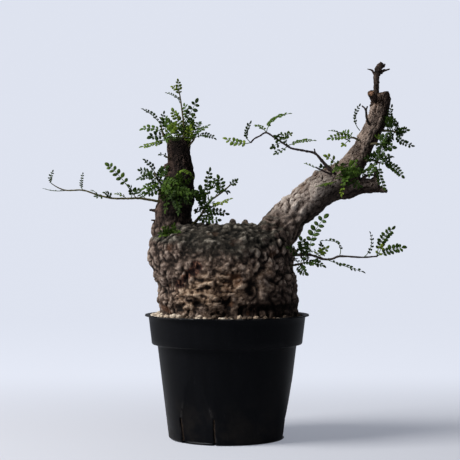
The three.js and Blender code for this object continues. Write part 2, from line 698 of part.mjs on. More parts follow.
// A pinnate leaf: one thin blade along a curved midrib, cut to the rib into pairs of leaflets and one at the
// tip. Its upper face is a strip of rib with a kite for each leaflet, and its lower face is the same again.
function leafSolid(row, random) {
  const [root, middle, tip] = [0, 3, 6].map((i) => sighted(row[i], row[i + 1], row[i + 2]));
  const [pairs, leafletLength, roll = 0] = row.slice(9);
  const bend = middle.multiplyScalar(2).addScaledVector(root, -0.5).addScaledVector(tip, -0.5);
  const curve = new THREE.QuadraticBezierCurve3(root, bend, tip);
  const ribEnd = 1 - leafletLength / curve.getLength();
  const pairStep = (ribEnd - BARE_STALK) / pairs;
  const pitch = pairStep * curve.getLength();
  const width = Math.min(LEAFLET_PITCH_SHARE * pitch, LEAFLET_SLENDERNESS * leafletLength);
  const viewer = new THREE.Vector3(0, -1, 0.25).normalize();
  const points = [];
  const under = [];
  const faces = [];

  const frameAt = (share) => {
    const forward = curve.getTangentAt(share);
    const left = viewer.clone().cross(forward).normalize();
    left.applyAxisAngle(forward, THREE.MathUtils.degToRad(roll));
    return { centre: curve.getPointAt(share), forward, left, up: forward.clone().cross(left) };
  };
  const add = (point, up, thickness) => {
    under.push(point.clone().addScaledVector(up, -thickness));
    return points.push(point) - 1;
  };
  // The rib narrows to its root, which is sunk in the twig.
  const addRib = (share) => {
    const { centre, left, up } = frameAt(share);
    const size = share ? 1 : ROOT_SIZE;
    const sides = [RIB_HALF_WIDTH * size, -RIB_HALF_WIDTH * size];
    return sides.map((aside) => add(centre.clone().addScaledVector(left, aside), up, RIB_THICKNESS * size));
  };
  // The outer corners of a leaflet that starts at a point of the rib and points along a direction
  const addLeaflet = ({ centre, up }, direction, outline) => {
    const across = direction.clone().cross(up).normalize();
    const twist = 0.3 * (random() - 0.5);
    const size = leafletLength * (0.88 + 0.24 * random());
    return outline.map(([along, aside]) => {
      const corner = centre.clone().addScaledVector(direction, along * size);
      corner.addScaledVector(across, aside * width).addScaledVector(up, aside * width * twist);
      return add(corner, up, LEAFLET_THICKNESS);
    });
  };

  const shares = [0, ...Array.from({ length: pairs + 1 }, (_, k) => BARE_STALK + k * pairStep)];
  const ribs = shares.map(addRib);
  const rightEdge = [ribs[0][1], ribs[1][1]];
  const leftEdge = [ribs[0][0], ribs[1][0]];
  for (let k = 0; k <= pairs; k += 1) {
    const [nearLeft, nearRight] = ribs[k];
    const [farLeft, farRight] = ribs[k + 1];
    faces.push([nearRight, farRight, farLeft], [nearRight, farLeft, nearLeft]);
    if (k === 0) continue;
    const frame = frameAt((shares[k] + shares[k + 1]) / 2);
    for (const side of [1, -1]) {
      const direction = frame.left.clone().multiplyScalar(side * Math.cos(LEAFLET_LEAN));
      direction.addScaledVector(frame.forward, Math.sin(LEAFLET_LEAN));
      direction.addScaledVector(frame.up, Math.sin(LEAFLET_LIFT)).normalize();
      const outline = SIDE_LEAFLET.map(([along, aside]) => [along, aside * side]);
      const [belly, outer] = addLeaflet(frame, direction, outline);
      if (side > 0) {
        faces.push([nearLeft, farLeft, belly], [farLeft, outer, belly]);
        leftEdge.push(belly, outer, farLeft);
      } else {
        faces.push([nearRight, belly, farRight], [belly, outer, farRight]);
        rightEdge.push(belly, outer, farRight);
      }
    }
  }
  const endFrame = frameAt(ribEnd);
  const [right, outer, left] = addLeaflet(endFrame, endFrame.forward, END_LEAFLET);
  const [lastLeft, lastRight] = ribs[pairs + 1];
  faces.push([lastRight, right, left], [right, outer, left], [lastRight, left, lastLeft]);
  const edge = [...rightEdge, right, outer, left, ...leftEdge.reverse()];
  const count = points.length;
  const lower = faces.map(([a, b, c]) => [a + count, c + count, b + count]);
  const walls = edge.flatMap((a, i) => {
    const b = edge[(i + 1) % edge.length];
    return [[a, a + count, b + count], [a, b + count, b]];
  });
  return solidFromFaces([...points, ...under], [...faces, ...lower, ...walls]);
}

// A leafy shoot: its twigs and leaves in one piece, cut clear of the wood that it grows from
function makeSpray({ twigs, leaves }, woodClearance, random) {
  const stalks = twigs.map((rows) => limb(rows, LEAFY_TWIG_SIDES, rows.length + 1));
  const blades = leaves.map((row) => leafSolid(row, random));
  return largestPiece(union([...stalks, ...blades]).subtract(woodClearance));
}

function material(colour, roughness) {
  return new THREE.MeshStandardMaterial({ color: colour, roughness, metalness: 0 });
}

function addNode(tree, name, solid, finish) {
  const mesh = new THREE.Mesh(geometryFrom(solid), finish);
  mesh.name = name;
  tree.add(mesh);
}

const bonsai = new THREE.Group();
const woodClearance = makeWood(TOUCH_GAP);
const leafRandom = seededRandom(41);
addNode(bonsai, "pot", makePot(), material(0x1c1e22, 0.42));
addNode(bonsai, "soil", makeSoil(), material(0xb9ab93, 0.95));
addNode(bonsai, "wood", makeWood(), material(0x5b4a3e, 0.85));
for (const [name, spray] of Object.entries(SPRAYS)) {
  addNode(bonsai, name, makeSpray(spray, woodClearance, leafRandom), material(0x47662f, 0.5));
}

export default bonsai;
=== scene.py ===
"""The look of a potted bonsai of Operculicarya pachypus: warty swollen trunk, sawn stem, rising limb, pinnate leaves,
black nursery pot and pumice. Tables are in millimetres, meshes in metres: +Z up, +X right, -Y towards the viewer."""

import bpy
import numpy as np
from mathutils import Matrix


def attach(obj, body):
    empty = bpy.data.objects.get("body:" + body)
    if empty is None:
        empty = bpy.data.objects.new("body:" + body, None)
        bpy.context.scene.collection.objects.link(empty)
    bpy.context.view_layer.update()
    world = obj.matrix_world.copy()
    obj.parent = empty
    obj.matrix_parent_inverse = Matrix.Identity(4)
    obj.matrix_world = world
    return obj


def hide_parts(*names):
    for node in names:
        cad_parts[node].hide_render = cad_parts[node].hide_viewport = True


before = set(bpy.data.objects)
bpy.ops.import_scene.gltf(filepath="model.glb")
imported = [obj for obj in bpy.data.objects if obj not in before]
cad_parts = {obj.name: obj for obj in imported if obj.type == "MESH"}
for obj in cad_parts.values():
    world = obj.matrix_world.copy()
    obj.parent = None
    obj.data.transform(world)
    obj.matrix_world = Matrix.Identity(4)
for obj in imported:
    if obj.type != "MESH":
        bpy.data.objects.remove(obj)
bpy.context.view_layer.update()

MM = 0.001

# The eye of the photograph. An outline read at depth y lies on the sight line through its x and z at y = 0.
EYE_X, EYE_Z, EYE_DISTANCE = 2.7, 190.0, 1300.0
LENS_MM, SENSOR_MM = 111.2, 36.0

# Caudex: height, half width, half depth and sideways shift of its level sections
CAUDEX_LEVELS = np.array([
    (84, 46, 40, 1), (92, 55, 47, 1), (103, 60, 51, 1.6), (113, 62.4, 52.6, 2), (119, 62, 53, 1.2),
    (125, 63.4, 54, 1.7), (131, 62.8, 54, 0.8), (138, 62.4, 54, 1), (143, 63.6, 54.4, -0.8), (148, 64, 54.6, -1.8),
    (155, 63.6, 54.4, -4.2), (162, 65, 54.6, -4.6), (170, 65.4, 54.2, -4.9), (178, 65, 51, -5.2),
    (185, 61, 45, -4.5), (190, 52, 37, -4.5), (193.5, 42, 29, -5), (195.5, 25, 17, -5),
])
CAUDEX_SQUARENESS = 2.4

# Limbs: rows of x, y, z and radius
SAWN_STEM = [
    (-47, 3, 170, 21), (-49.5, 2, 186, 18.6), (-49.5, 2, 200, 17.2), (-48.5, 2, 210, 17), (-46, 2, 220, 16.6),
    (-43.5, 2, 230, 14.6), (-42, 2, 240, 12.4), (-42.5, 2, 250, 10.8), (-44.5, 2, 262, 10.8), (-43.5, 2, 276, 11.4),
]
GREAT_LIMB = [
    (34, 0, 171, 23), (46, 0, 187, 19.5), (57, 0, 202, 16.4), (69, 0, 212, 15.8), (80, -1, 221.5, 15.8),
    (92, -1, 231, 15), (104, -1, 238.5, 13.6), (113.5, 0, 247, 11.6), (119.7, 0, 257, 10), (124.5, 0, 265, 9),
    (129, 1, 275, 8.6), (134, 1, 283, 8.8), (138.4, 2, 297, 9), (141, 2, 307, 9), (143.5, 2, 320, 9),
]
BROKEN_FORK = [
    (98, 0, 229, 12), (112, 1, 229, 10.2), (122, 2, 230.3, 7.6), (130, 3, 230.3, 7.2), (136, 3, 228.8, 5),
    (140, 3, 227, 2.8), (147, 3, 226.3, 2.2),
]
FORK_SPUR = [(134, 3, 228, 5), (136.5, 3, 238, 3), (136.2, 3, 247, 1.6)]
# Saw cuts: a point of the cut's plane and the way it faces
STEM_CUT = [((-43, 0, 274.6), (0.05, -0.04, 1))]
LIMB_CUTS = [((144.5, 2, 316.2), (-0.22, -0.1, 1)), ((147.2, 2, 316.2), (0.86, -0.28, 0.5))]

# Bare twigs: rows of x, y, z and radius. The first two are sawn or knotted at the top.
TOP_TWIG = [
    (135, 0, 303, 4.4), (136, 0, 313, 3.2), (136.6, 0, 322, 2.6), (136.7, 0, 332, 2.7), (138.2, 0, 337, 3.1),
    (140.2, 0, 340.5, 2.9), (141.8, 0, 343, 1.8),
]
SAWN_TWIG = [(136.4, 0, 306, 3.4), (133.6, -4.5, 311.4, 3.4), (131.6, -9.5, 315.4, 3.3)]
BARE_TWIGS = [
    [(136.5, 0, 330, 1.7), (134.2, 0, 333.5, 1.2), (132.5, 0, 336, 1), (130.5, 0, 336.8, 0.6), (128.3, 0, 337.3, 0.3)],
    [(138, 0, 332, 1.9), (143, 0, 335.6, 1.4), (146, 0, 336.4, 0.9), (149, 0, 337.3, 0.5)],
    [(140, 0, 338, 1.6), (143.4, 0, 339.8, 1.1), (144.6, 0, 342, 0.6)],
    [(121, -3, 235, 1.8), (129, -4, 240, 1.2), (137, 1, 240, 0.9)],
    [(131, -5, 286, 1.4), (128, -8, 291, 1.1), (126.8, -9, 300, 0.9), (123.3, -9, 303.7, 0.6)],
    [(126.8, -9, 299, 0.9), (128.6, -9, 303.3, 0.6)],
    [(-60, -2, 206, 2.6), (-66, -2, 207.8, 1.6), (-71, -2, 208.3, 1)],
    [(-62, 2, 196, 1.8), (-66, 2, 198.5, 1.2), (-69.4, 2, 199, 0.7)],
    [(55, -3, 213, 2.2), (52, -4, 217.5, 1.6), (50.5, -4, 219.4, 1.1)],
]

# Burls and large knobs: x, y, z and radius
BURLS = np.array([
    (-55, -3, 248, 3.3), (-55, -2, 241.5, 2.9), (5.5, -3, 197, 3.6), (16.8, -2, 196, 3.6), (82.5, -4, 240.5, 4.6),
    (27, -12, 191, 4), (36, -4, 199.5, 4.4), (56.6, -15, 184, 3.6), (56.6, -17, 178.6, 3.6), (34.6, -40, 181.5, 4.2),
    (41.7, -39, 175, 3.4), (39.5, -43, 158.6, 4.6), (49.4, -34, 161, 3.6), (49.4, -35, 158, 3.4), (40, -43.5, 151.8, 5),
    (20.3, -51, 151.8, 3.8), (33, -48, 141, 3), (33, -48, 136.5, 3), (40.5, -45, 138, 3.2), (16, -51, 171.6, 4),
    (44.5, -29, 186, 3.6), (61, -20, 170, 4.4), (58, -30, 146, 4.6), (61, -18, 127, 4.6), (-66, -12, 176, 4.2),
    (-60, -8, 126, 4.2), (-27, -33, 184, 4.6), (-10, -49, 162, 3.4), (60.3, -6, 124, 6.4), (60, -6, 135, 5),
    (29, -24, 191.5, 4.2), (35.5, -24, 193, 4.8), (42.5, -23, 191.5, 4.6), (49, -22.5, 188, 4.6),
    (54.5, -20, 184.5, 4.2), (38.5, -16, 199.5, 4.4), (45.5, -16.5, 197.5, 4.2), (52, -16, 193.5, 4),
    (58.5, -14.5, 190.5, 3.6), (45.5, -11.5, 205, 3.8), (52, -14, 201.5, 3.6), (58.5, -15, 197.5, 3.4),
    (66, -13, 200, 3.4), (60, -14, 205, 3.2),
], float)
# Hollows on the front of the caudex: x, z, half width, half height and depth
HOLLOWS = [(20, 138, 5.0, 8.5, 5.5), (-43, 119.5, 4.2, 4, 3.5), (-27, 124, 4.6, 3.6, 3), (0, 126, 5.5, 3.2, 3),
           (38, 121, 16, 3.2, 2.6), (9, 149, 5, 2.4, 2.6), (-24, 146, 3.4, 2.8, 2.2), (42, 146, 3, 4, 2.6)]
# Places on the front of the caudex: share, x, z, half width and half height. The first three have their own relief,
# and the others their own colour.
SLAB_PLACES = [(1.3, -9, 138, 27, 17), (0.9, -36, 124, 14, 9)]
ROLL_PLACES = [(1.3, -10, 178, 32, 13)]
BALL_PLACES = [(1.4, 42, 168, 27, 24)]
WARM_PLACES = [(1.1, -6, 139, 27, 18), (0.8, -33, 128, 14, 14), (0.5, 36, 148, 12, 14)]
DARKER_LOW_PLACES = [(1.2, 42, 121, 27, 13), (0.8, 8, 119, 22, 7)]
BLOOM_PLACES = [(1.1, -10, 182, 38, 17), (0.4, 34, 170, 22, 20)]
# Torn bark on the front, from one end to the other in x and z, and how far it reaches from that line
WOUND_START, WOUND_END = np.array([-43, 141]), np.array([-27, 158])
WOUND_REACH = 5
# Mossy places on the wood: middle and reach each way
MOSS = [((-46, -6, 275), (14, 12, 4)), ((-52, -22, 187), (9, 9, 4)), ((112, -11, 243), (12, 8, 4)),
        ((-44, -14, 232), (8, 8, 5))]

# Cells of the fused wood: with smaller ones its skin would pass 200,000 triangles
WOOD_VOXEL = 1.07
# The relief's bounds, and the heights between which it fades out where the caudex goes into the pit
RELIEF_LOW, RELIEF_HIGH = -6, 5
PIT_FADE = (97, 113)
# Where the limb leaves the caudex, and the way it goes there
LIMB_FOOT, LIMB_FOOT_WAY = np.array([36, 0, 188]), np.array([0.62, 0.0, 0.78])
SAWN_TWIG_RADIUS = 3.2

# Pot: radius of the body by height, wall, and the flat of its underside
BODY_HEIGHTS, BODY_RADII = [0, 86], [53.0, 63.6]
POT_WALL = 1.2
UNDERSIDE_RADIUS = 46
POT_COLUMNS = 300
# Pot's rows of radius and height: the underside's edge below the body, then the collar and lip above it
POT_FOOT = [(0.5, 0), (30, 0), (UNDERSIDE_RADIUS, 0), (50.4, 0), (51.4, 0.25), (52.1, 0.8)]
POT_COLLAR = [
    (64.2, 85.9), (67.2, 86), (68.2, 86.3), (68.8, 87.2), (69.3, 92), (70.2, 99), (71.0, 106),
    (71.6, 111), (71.9, 111.6), (72.6, 111.8), (74.5, 111.8), (75.0, 111.9),
]
# Radius beyond which the lip's outer edge is paler, a painted highlight
LIP_SHEEN_RADIUS = 73.5
# Three panels, 120 degrees apart: half angle in degrees by height, depth of the step at their edges at the foot,
# height at which it would run out, its width in degrees, and the heights between which the wear and painted
# highlight on it fade out
PANEL_HEIGHTS = [0, 23, 50, 60]
PANEL_HALF_ANGLES = [20, 17.4, 9, 1]
PANEL_STEP, PANEL_STEP_END = 0.9, 64
PANEL_EDGE = 1.3
PANEL_WEAR_AND_SHEEN = (46, 26)
# Drain slits: top, and the middle and half width in degrees from the panel's middle
SLIT_TOP = 23.5
SLIT_ANGLE, SLIT_HALF_WIDTH = 18, 1.2

# Bed: surface at the wall, heap towards the caudex, fall to the right, inner radius of the collar there, and room
# left at the caudex, in the pit and at the pot's skin and floor
SOIL_TOP, SOIL_HEAP, SOIL_FALL = 110.7, 1.6, 0.9
COLLAR_RADIUS, SOIL_REACH = 71.4, 71.8
SOIL_GAP, PIT_GAP, SKIN_GAP, FLOOR_GAP = 0.4, 0.5, 1.65, 2.1
SOIL_COLUMNS = 240
# Grains: places tried, radii, the least radius kept, how far out they may reach, and scale each way, least and most
GRAIN_TRIES = 2600
GRAIN_SIZES, GRAIN_LEAST, GRAIN_REACH = (1.6, 3.1), 1.3, 70.4
GRAIN_STRETCH = [0.8, 0.75, 0.6], [1.15, 1.1, 0.9]

LEAFLET_LEAN = np.radians(24)
LEAFLET_LIFT = np.radians(16)
VIEWER = np.array([0.0, -1.0, 0.25])
# A shoot's finishes by number, and the first shoot's seed: each next one has one more
LEAF, TWIG = 0, 1
FIRST_SEED = 300

# Leafy shoots, one for each CAD node. Twigs are rows of x, y, z and radius. A leaf is its root, middle and tip, leaflet
# pairs, leaflet length, roll in degrees (at 0 it faces the viewer) and tone (0 dark green, 1 yellow-green). A tuft
# is leaves placed by rule: middle, reach each way, number, leaf length and tone. Young, from 0 to 1, makes bark green,
# and where it isn't given it follows from how thin the twig is.
SPRAYS = {
    "crown_tall_shoot": {
        "twigs": [
            [(-39, -3, 270, 1.4), (-39.5, -4, 285, 1.2), (-41, -4, 298, 1), (-42.5, -4, 309, 0.8),
             (-44, -5, 318, 0.6)],
        ],
        "leaves": [
            ((-43, -4, 312), (-44.5, -5, 320), (-45, -6, 328), 4, 3.4, 30, 0.85),
            ((-43.5, -4, 314), (-47, -5, 319), (-51, -6, 321), 3, 3, 20, 0.8),
            ((-43, -4, 306), (-47, -3, 312), (-57.5, 0, 316), 7, 2.6, 50, 0.35),
            ((-40, -4, 287), (-33, -6, 298), (-27, -8, 310), 4, 5.2, 10, 0.2),
            ((-39.5, -4, 284), (-46, -9, 292), (-50, -12, 301), 5, 4.2, -20, 0.75),
            ((-40, -3, 290), (-37, 5, 297), (-40, 11, 306), 4, 4.2, -40, 0.45),
            ((-39.5, -4, 280), (-33, -7, 288), (-30, -9, 296), 3, 3.6, 40, 0.7),
        ],
        "tufts": [((-43, -5, 287), (6, 4, 6), 4, 12, 0.7)],
    },
    "crown_left_spray": {
        "twigs": [
            [(-49, -3, 266, 1.4), (-56, -6, 273, 1.3), (-59, -6, 279, 1.1), (-60.5, -6, 286, 0.9)],
        ],
        "leaves": [
            ((-60, -6, 285), (-68, -5, 295), (-78, -4, 301), 6, 3.6, 50, 0.35),
            ((-58.5, -6, 279), (-69, -8, 283), (-79.5, -9, 281.5), 4, 4.8, 30, 0.65),
            ((-56, -6, 274), (-66, -7, 268.5), (-81, -7, 266), 7, 4.4, 42, 0.75),
            ((-57, -6, 275), (-65, -11, 276), (-72, -15, 274), 3, 5.2, 0, 0.3),
            ((-57, -6, 276), (-51, -13, 282), (-47, -18, 288), 5, 4.6, 15, 0.7),
            ((-57, -6, 277), (-60, -8, 287), (-57, -9, 299), 5, 3.4, 40, 0.55),
        ],
        "tufts": [((-55, -7, 277), (6, 5, 5), 5, 13, 0.5)],
    },
    "crown_right_spray": {
        "twigs": [
            [(-37, -2, 265, 1.4), (-31, -6, 272, 1.2), (-29, -7, 277, 1)],
        ],
        "leaves": [
            ((-31, -6, 273), (-21, -8, 277), (-9.5, -9, 272.5), 7, 3.4, -30, 0.25),
            ((-29, -7, 277), (-24, -6, 281.5), (-14.5, -5, 287), 6, 3.6, -45, 0.5),
            ((-30, -6.5, 275), (-28, -1, 283), (-24, 4, 289), 4, 4.2, -20, 0.55),
            ((-36, -3, 267), (-35, -10, 277), (-33, -12, 285), 4, 4.2, 0, 0.75),
        ],
        "tufts": [((-35, -6, 273), (6, 5, 4), 5, 12, 0.5)],
    },
    "crown_back_spray": {
        "twigs": [
            [(-44, 8, 262, 1.4), (-44, 15, 269, 1.2), (-44, 18, 277, 1)],
        ],
        "leaves": [
            ((-44, 18, 276), (-52, 22, 285), (-60, 25, 292), 6, 5, 150, 0.5),
            ((-44, 18, 276), (-38, 24, 284), (-31, 28, 290), 5, 5, 190, 0.35),
            ((-44, 16, 271), (-36, 24, 275), (-29, 30, 277), 5, 4.6, 200, 0.45),
        ],
        "tufts": [((-44, 16, 273), (6, 4, 5), 5, 16, 0.5)],
    },
    "stem_leaf": {
        "twigs": [
            [(-50, -3, 255.5, 1.2), (-56.5, -5, 257, 1)],
        ],
        "leaves": [
            ((-55, -5, 257), (-58.5, -6, 259), (-63, -7, 258.5), 2, 2.6, 20, 0.5),
        ],
    },
    "stem_left_spray": {
        "twigs": [
            [(-51, -5, 224, 1.8), (-59, -9, 231, 1.5), (-64, -11, 237, 1.2), (-66.5, -11, 243, 1)],
        ],
        "leaves": [
            ((-66, -11, 242), (-70, -12, 249), (-77, -13, 255), 4, 3.8, 40, 0.2),
            ((-65.5, -11, 240), (-73, -8, 243), (-82, -5, 245), 4, 4, -40, 0.25),
            ((-64, -11, 237), (-73, -14, 238), (-83, -16, 236), 5, 4.2, 40, 0.25),
            ((-61, -10, 233.5), (-69, -16, 231), (-78, -21, 227), 5, 4.4, 30, 0.35),
            ((-59, -9, 231), (-67, -10, 226), (-75, -13, 223.5), 4, 4.4, -30, 0.35),
            ((-64.5, -11, 238), (-59, -17, 243), (-54, -20, 248), 4, 4.8, 5, 0.3),
            ((-60, -9.5, 232), (-56, -19, 229), (-50, -25, 223), 5, 4.8, 25, 0.5),
            ((-62, -10, 235), (-53, -19, 235), (-45, -22, 232), 5, 4.8, -20, 0.5),
            ((-52, -12, 234), (-40, -20, 243.5), (-30, -20, 236.5), 10, 3.6, -52, 0.75),
            ((-56, -8, 229), (-47, -20, 226), (-35, -23, 227), 6, 4.6, 20, 0.45),
            ((-55, -8, 228), (-47, -20, 218), (-44, -24, 208), 5, 4.8, 20, 0.25),
            ((-55, -9, 227), (-42, -20, 221), (-33, -22, 214), 5, 4.6, 0, 0.2),
            ((-57, -9, 229), (-55, -17, 217), (-57, -19, 206), 4, 4.2, 40, 0.4),
            ((-48, -17, 220), (-44, -21, 211), (-45, -23, 204), 3, 3.6, 30, 0.3),
            ((-45, -19, 222), (-35, -22, 222), (-28, -22, 226), 4, 4.4, -10, 0.25),
        ],
        "tufts": [((-63, -12, 233), (7, 5, 7), 11, 15, 0.3), ((-46, -19, 226), (10, 3, 6), 10, 14, 0.35)],
    },
    "long_left_shoot": {
        "twigs": [
            [(-56, -3, 214.5, 1.7), (-66, -5, 216.8, 1.5), (-80, -7, 219, 1.3), (-92, -8, 218.8, 1.2),
             (-105, -9, 219, 1.1), (-118, -9, 222, 1), (-131.5, -8, 226.3, 0.9), (-147, -6, 226.3, 0.8),
             (-155, -6, 229, 0.65), (-160.5, -6, 232.5, 0.5)],
            [(-83, -7, 219, 0.6), (-88, -9, 226, 0.5), (-93, -10.5, 233, 0.45)],
        ],
        "leaves": [
            ((-160, -6, 232), (-162, -8, 237), (-158.5, -10, 245.5), 5, 2.4, 50, 0.45),
            ((-146, -6, 226.5), (-158, -4, 225.8), (-168.5, -3, 228.3), 7, 2.4, 70, 0.5),
            ((-132, -8, 226.3), (-133.5, -9, 233), (-131.5, -10, 243), 6, 2.1, 50, 0.5),
            ((-88.5, -9, 226.5), (-99.5, -12.5, 240.5), (-110.5, -14, 250.5), 5, 5.2, 8, 0.72),
            ((-88, -8, 219), (-87, -12, 226), (-91, -15, 231), 3, 4.4, 40, 0.5),
            ((-105, -9, 219), (-109, -12, 222.5), (-113, -14, 224), 3, 3.6, 30, 0.65),
            ((-113, -9, 220.5), (-117, -11, 220.5), (-122, -12, 221), 2, 3.2, 30, 0.4),
            ((-74, -6, 218), (-79, 1, 223), (-85, 6, 228), 4, 4.4, 10, 0.35),
            ((-92, -8, 218.8), (-97, -10, 222), (-103, -11, 223), 3, 3.4, 50, 0.6),
            ((-118, -9, 222), (-121, -10, 225), (-125, -10, 226.5), 2, 2.6, 60, 0.5),
        ],
    },
    "stem_right_spray": {
        "twigs": [
            [(-33, -6, 193, 1.9), (-25, -11, 202, 1.5), (-20, -13, 210, 1.2), (-15, -14, 217, 1.05),
             (-6, -14, 223.5, 0.95), (4, -13, 232, 0.85)],
        ],
        "leaves": [
            ((2, -13, 230), (6, -13, 233.5), (10, -12, 236.5), 3, 3.6, 40, 0.65),
            ((-16, -14, 216), (-18, -15, 231), (-15, -17, 247), 6, 4.6, 45, 0.55),
            ((-8, -14, 222), (-6, -18, 231), (-9, -21, 240), 4, 5, 10, 0.5),
            ((-19, -13, 212), (-24, -15, 220), (-24, -17, 231), 4, 5.8, 5, 0.2),
            ((-18, -13.5, 211), (-7, -17, 213.5), (5, -18, 219.5), 8, 4, -52, 0.8),
            ((-24, -11.5, 204), (-12, -17, 207), (2, -18, 204), 6, 4.3, 45, 0.2),
            ((-26, -10.5, 201), (-17, -21, 200), (-6, -26, 199), 5, 4, 30, 0.25),
            ((-11, -14, 220), (-5, -7, 226), (3, -2, 224), 4, 5, -30, 0.4),
        ],
        "tufts": [((-21, -14, 210), (6, 4, 8), 8, 15, 0.25), ((-7, -15, 227), (5, 3, 5), 5, 12, 0.6),
                  ((-23, -12, 205), (4, 3, 4), 6, 10, 0.2)],
    },
    "foot_tuft": {
        "twigs": [
            [(-52, -14, 181, 2), (-52, -23, 186, 1.6), (-52, -28, 188, 1.3)],
        ],
        "leaves": [
            ((-52, -27, 185), (-57, -31, 186), (-62, -34, 183.5), 4, 3.8, 40, 0.6),
            ((-52, -27.5, 186), (-55, -31, 190), (-59, -34, 192), 3, 3.6, 15, 0.5),
            ((-52, -27.5, 186), (-48, -31, 183), (-44, -33, 179), 3, 3.8, -20, 0.6),
            ((-52, -28, 186), (-47, -31, 188), (-42, -33, 188), 3, 3.6, -40, 0.5),
        ],
        "tufts": [((-52, -27, 184), (5, 3, 3), 4, 10, 0.5)],
    },
    "long_upper_twig": {
        "young": 0.1,
        "twigs": [
            [(106, -6, 233, 3.4), (97.5, -12, 242, 2.6), (88, -15, 252, 1.9), (80.5, -17, 260, 1.5),
             (70, -18, 262.6, 1.3), (60, -18, 264.5, 1.2), (55, -18, 267, 1.3), (45, -17, 273.5, 1.1),
             (36, -16, 279, 1.1), (30, -16, 276, 0.95), (25, -15, 273.5, 0.9), (21.5, -15, 269.8, 1)],
            [(80.8, -17, 259, 1.1), (79.8, -17, 264.5, 0.7)],
            [(99, -11, 240, 1.8), (90, -16, 243, 1.2), (81, -19, 247.5, 0.9)],
        ],
        "leaves": [
            ((36, -16, 279), (43, -18, 291), (60, -19, 297), 12, 4.2, -58, 0.6),
            ((36, -16, 279.5), (31, -13, 284), (25, -10, 286), 4, 3.6, 40, 0.6),
            ((21.5, -15, 270), (17, -18, 279), (23, -20, 290), 6, 4, 58, 0.45),
            ((21.5, -15, 270), (10, -13, 269.5), (-4, -11, 275), 5, 4.8, 28, 0.8),
            ((55, -18, 267), (67, -20, 270.5), (82, -20, 272), 9, 3.6, -50, 0.55),
            ((56, -18, 267), (53, -21, 274), (57, -22, 280), 3, 3.4, 30, 0.7),
            ((55, -18, 266.5), (49, -21, 262), (43, -23, 259.5), 3, 3.8, 30, 0.35),
            ((103, -14, 246), (97, -20, 253.5), (89, -23, 258), 3, 4.6, 15, 0.65),
            ((82, -19, 247), (76, -21, 249), (71, -22, 251), 3, 2.6, 55, 0.6),
        ],
        "tufts": [((51, -18, 271), (5, 3, 3), 6, 9, 0.4)],
    },
    "limb_left_spray": {
        "twigs": [
            [(124, -3, 270, 1.6), (117, -7, 274, 1.2), (113, -8, 274.5, 0.9)],
        ],
        "leaves": [
            ((117, -7, 274), (105, -10, 275.5), (91.5, -11, 273), 6, 4.2, 25, 0.62),
            ((113, -8, 274.3), (109, -12, 270), (105, -15, 267), 2, 4, 20, 0.5),
            ((113, -8, 275), (103, -9, 279), (93, -9, 281), 6, 2.8, 60, 0.6),
            ((121.5, -5, 281), (116.5, -7, 293), (122.5, -8, 305.5), 7, 3.2, 55, 0.5),
            ((115, -7.5, 274.3), (111, 1, 278), (106, 7, 280), 3, 4, -30, 0.5),
        ],
    },
    "limb_right_upper_spray": {
        "twigs": [
            [(138, -2, 281, 1.7), (150, -4, 280.5, 1.3), (155, -5, 279.5, 1)],
        ],
        "leaves": [
            ((153.5, -5, 279), (148.5, -5, 291), (151.5, -6, 305), 8, 3.6, 40, 0.25),
            ((154.5, -5, 279.6), (160.5, -6, 281.5), (167, -7, 281), 4, 3.8, 40, 0.35),
            ((154, -5, 279.7), (160, -6, 271.5), (172, -7, 266.5), 6, 3.8, 55, 0.3),
            ((151, -4.5, 280.3), (148, -14, 284), (146, -20, 289), 4, 4.4, 0, 0.3),
            ((153, -4.5, 280), (157, 3, 279), (161, 9, 276), 4, 4.4, 35, 0.35),
        ],
        "tufts": [((152.5, -5, 283), (3, 3, 5), 6, 11, 0.25)],
    },
    "limb_right_middle_spray": {
        "twigs": [
            [(128, -4, 268, 1.6), (137, -9, 269, 1.3), (142, -10, 268, 1)],
        ],
        "leaves": [
            ((139, -9.5, 268.7), (143, -13, 273), (147, -16, 279), 4, 5, -30, 0.3),
            ((141, -10, 268.2), (147, -15, 267), (155, -19, 265), 4, 5, 40, 0.35),
            ((140, -9.7, 268.5), (142, -18, 264), (143, -24, 259), 4, 5, 15, 0.35),
        ],
        "tufts": [((146, -12, 269), (3, 3, 5), 7, 12, 0.3)],
    },
    "limb_right_lower_spray": {
        "twigs": [
            [(121, -4, 253, 1.8), (133, -10, 254, 1.4), (140, -12, 251, 1.1)],
        ],
        "leaves": [
            ((137, -11.2, 252.5), (144, -10, 256), (153, -8, 257), 4, 5, -40, 0.35),
            ((139.5, -12, 251), (152, -14, 248), (162, -16, 237), 7, 4, 35, 0.35),
            ((139.5, -12, 251), (140, -14, 239), (145, -16, 226), 6, 4.2, 40, 0.4),
            ((135, -10.5, 253.5), (137, -16, 258), (140, -20, 263), 4, 4.8, -30, 0.3),
            ((136, -11, 252.8), (133, -17, 246), (130, -21, 239), 4, 5.2, 45, 0.45),
        ],
        "tufts": [((140, -12, 255), (5, 3, 5), 8, 13, 0.35)],
    },
    "limb_top_tuft": {
        "twigs": [
            [(108, -6, 238, 1.9), (109, -14, 245, 1.6), (110, -17, 247, 1.3)],
        ],
        "leaves": [
            ((109.5, -16, 246), (103, -21, 246), (97, -25, 243), 4, 4.4, 35, 0.55),
            ((110, -17, 247), (115, -19, 250), (119, -20, 254), 3, 4, 0, 0.6),
            ((109, -15, 245), (109, -22, 238), (107, -26, 232), 4, 4.4, 35, 0.5),
            ((103, -14, 236), (93, -18, 232), (81, -19, 230), 7, 3.6, 62, 0.6),
            ((99, -15, 237), (112, -21, 240), (129, -23, 246), 10, 4, 56, 0.5),
            ((100, -16, 239), (112, -23, 244), (127, -25, 243), 9, 3.8, 30, 0.32),
            ((107, -14, 236), (106, -18, 228), (104.5, -19, 221), 3, 3.6, 40, 0.9),
            ((114, -14, 237), (118, -20, 232), (123, -22, 230), 3, 4, 30, 0.25),
        ],
        "tufts": [((111, -17, 242), (9, 3, 4), 6, 10, 0.3)],
    },
    "lower_right_shoot": {
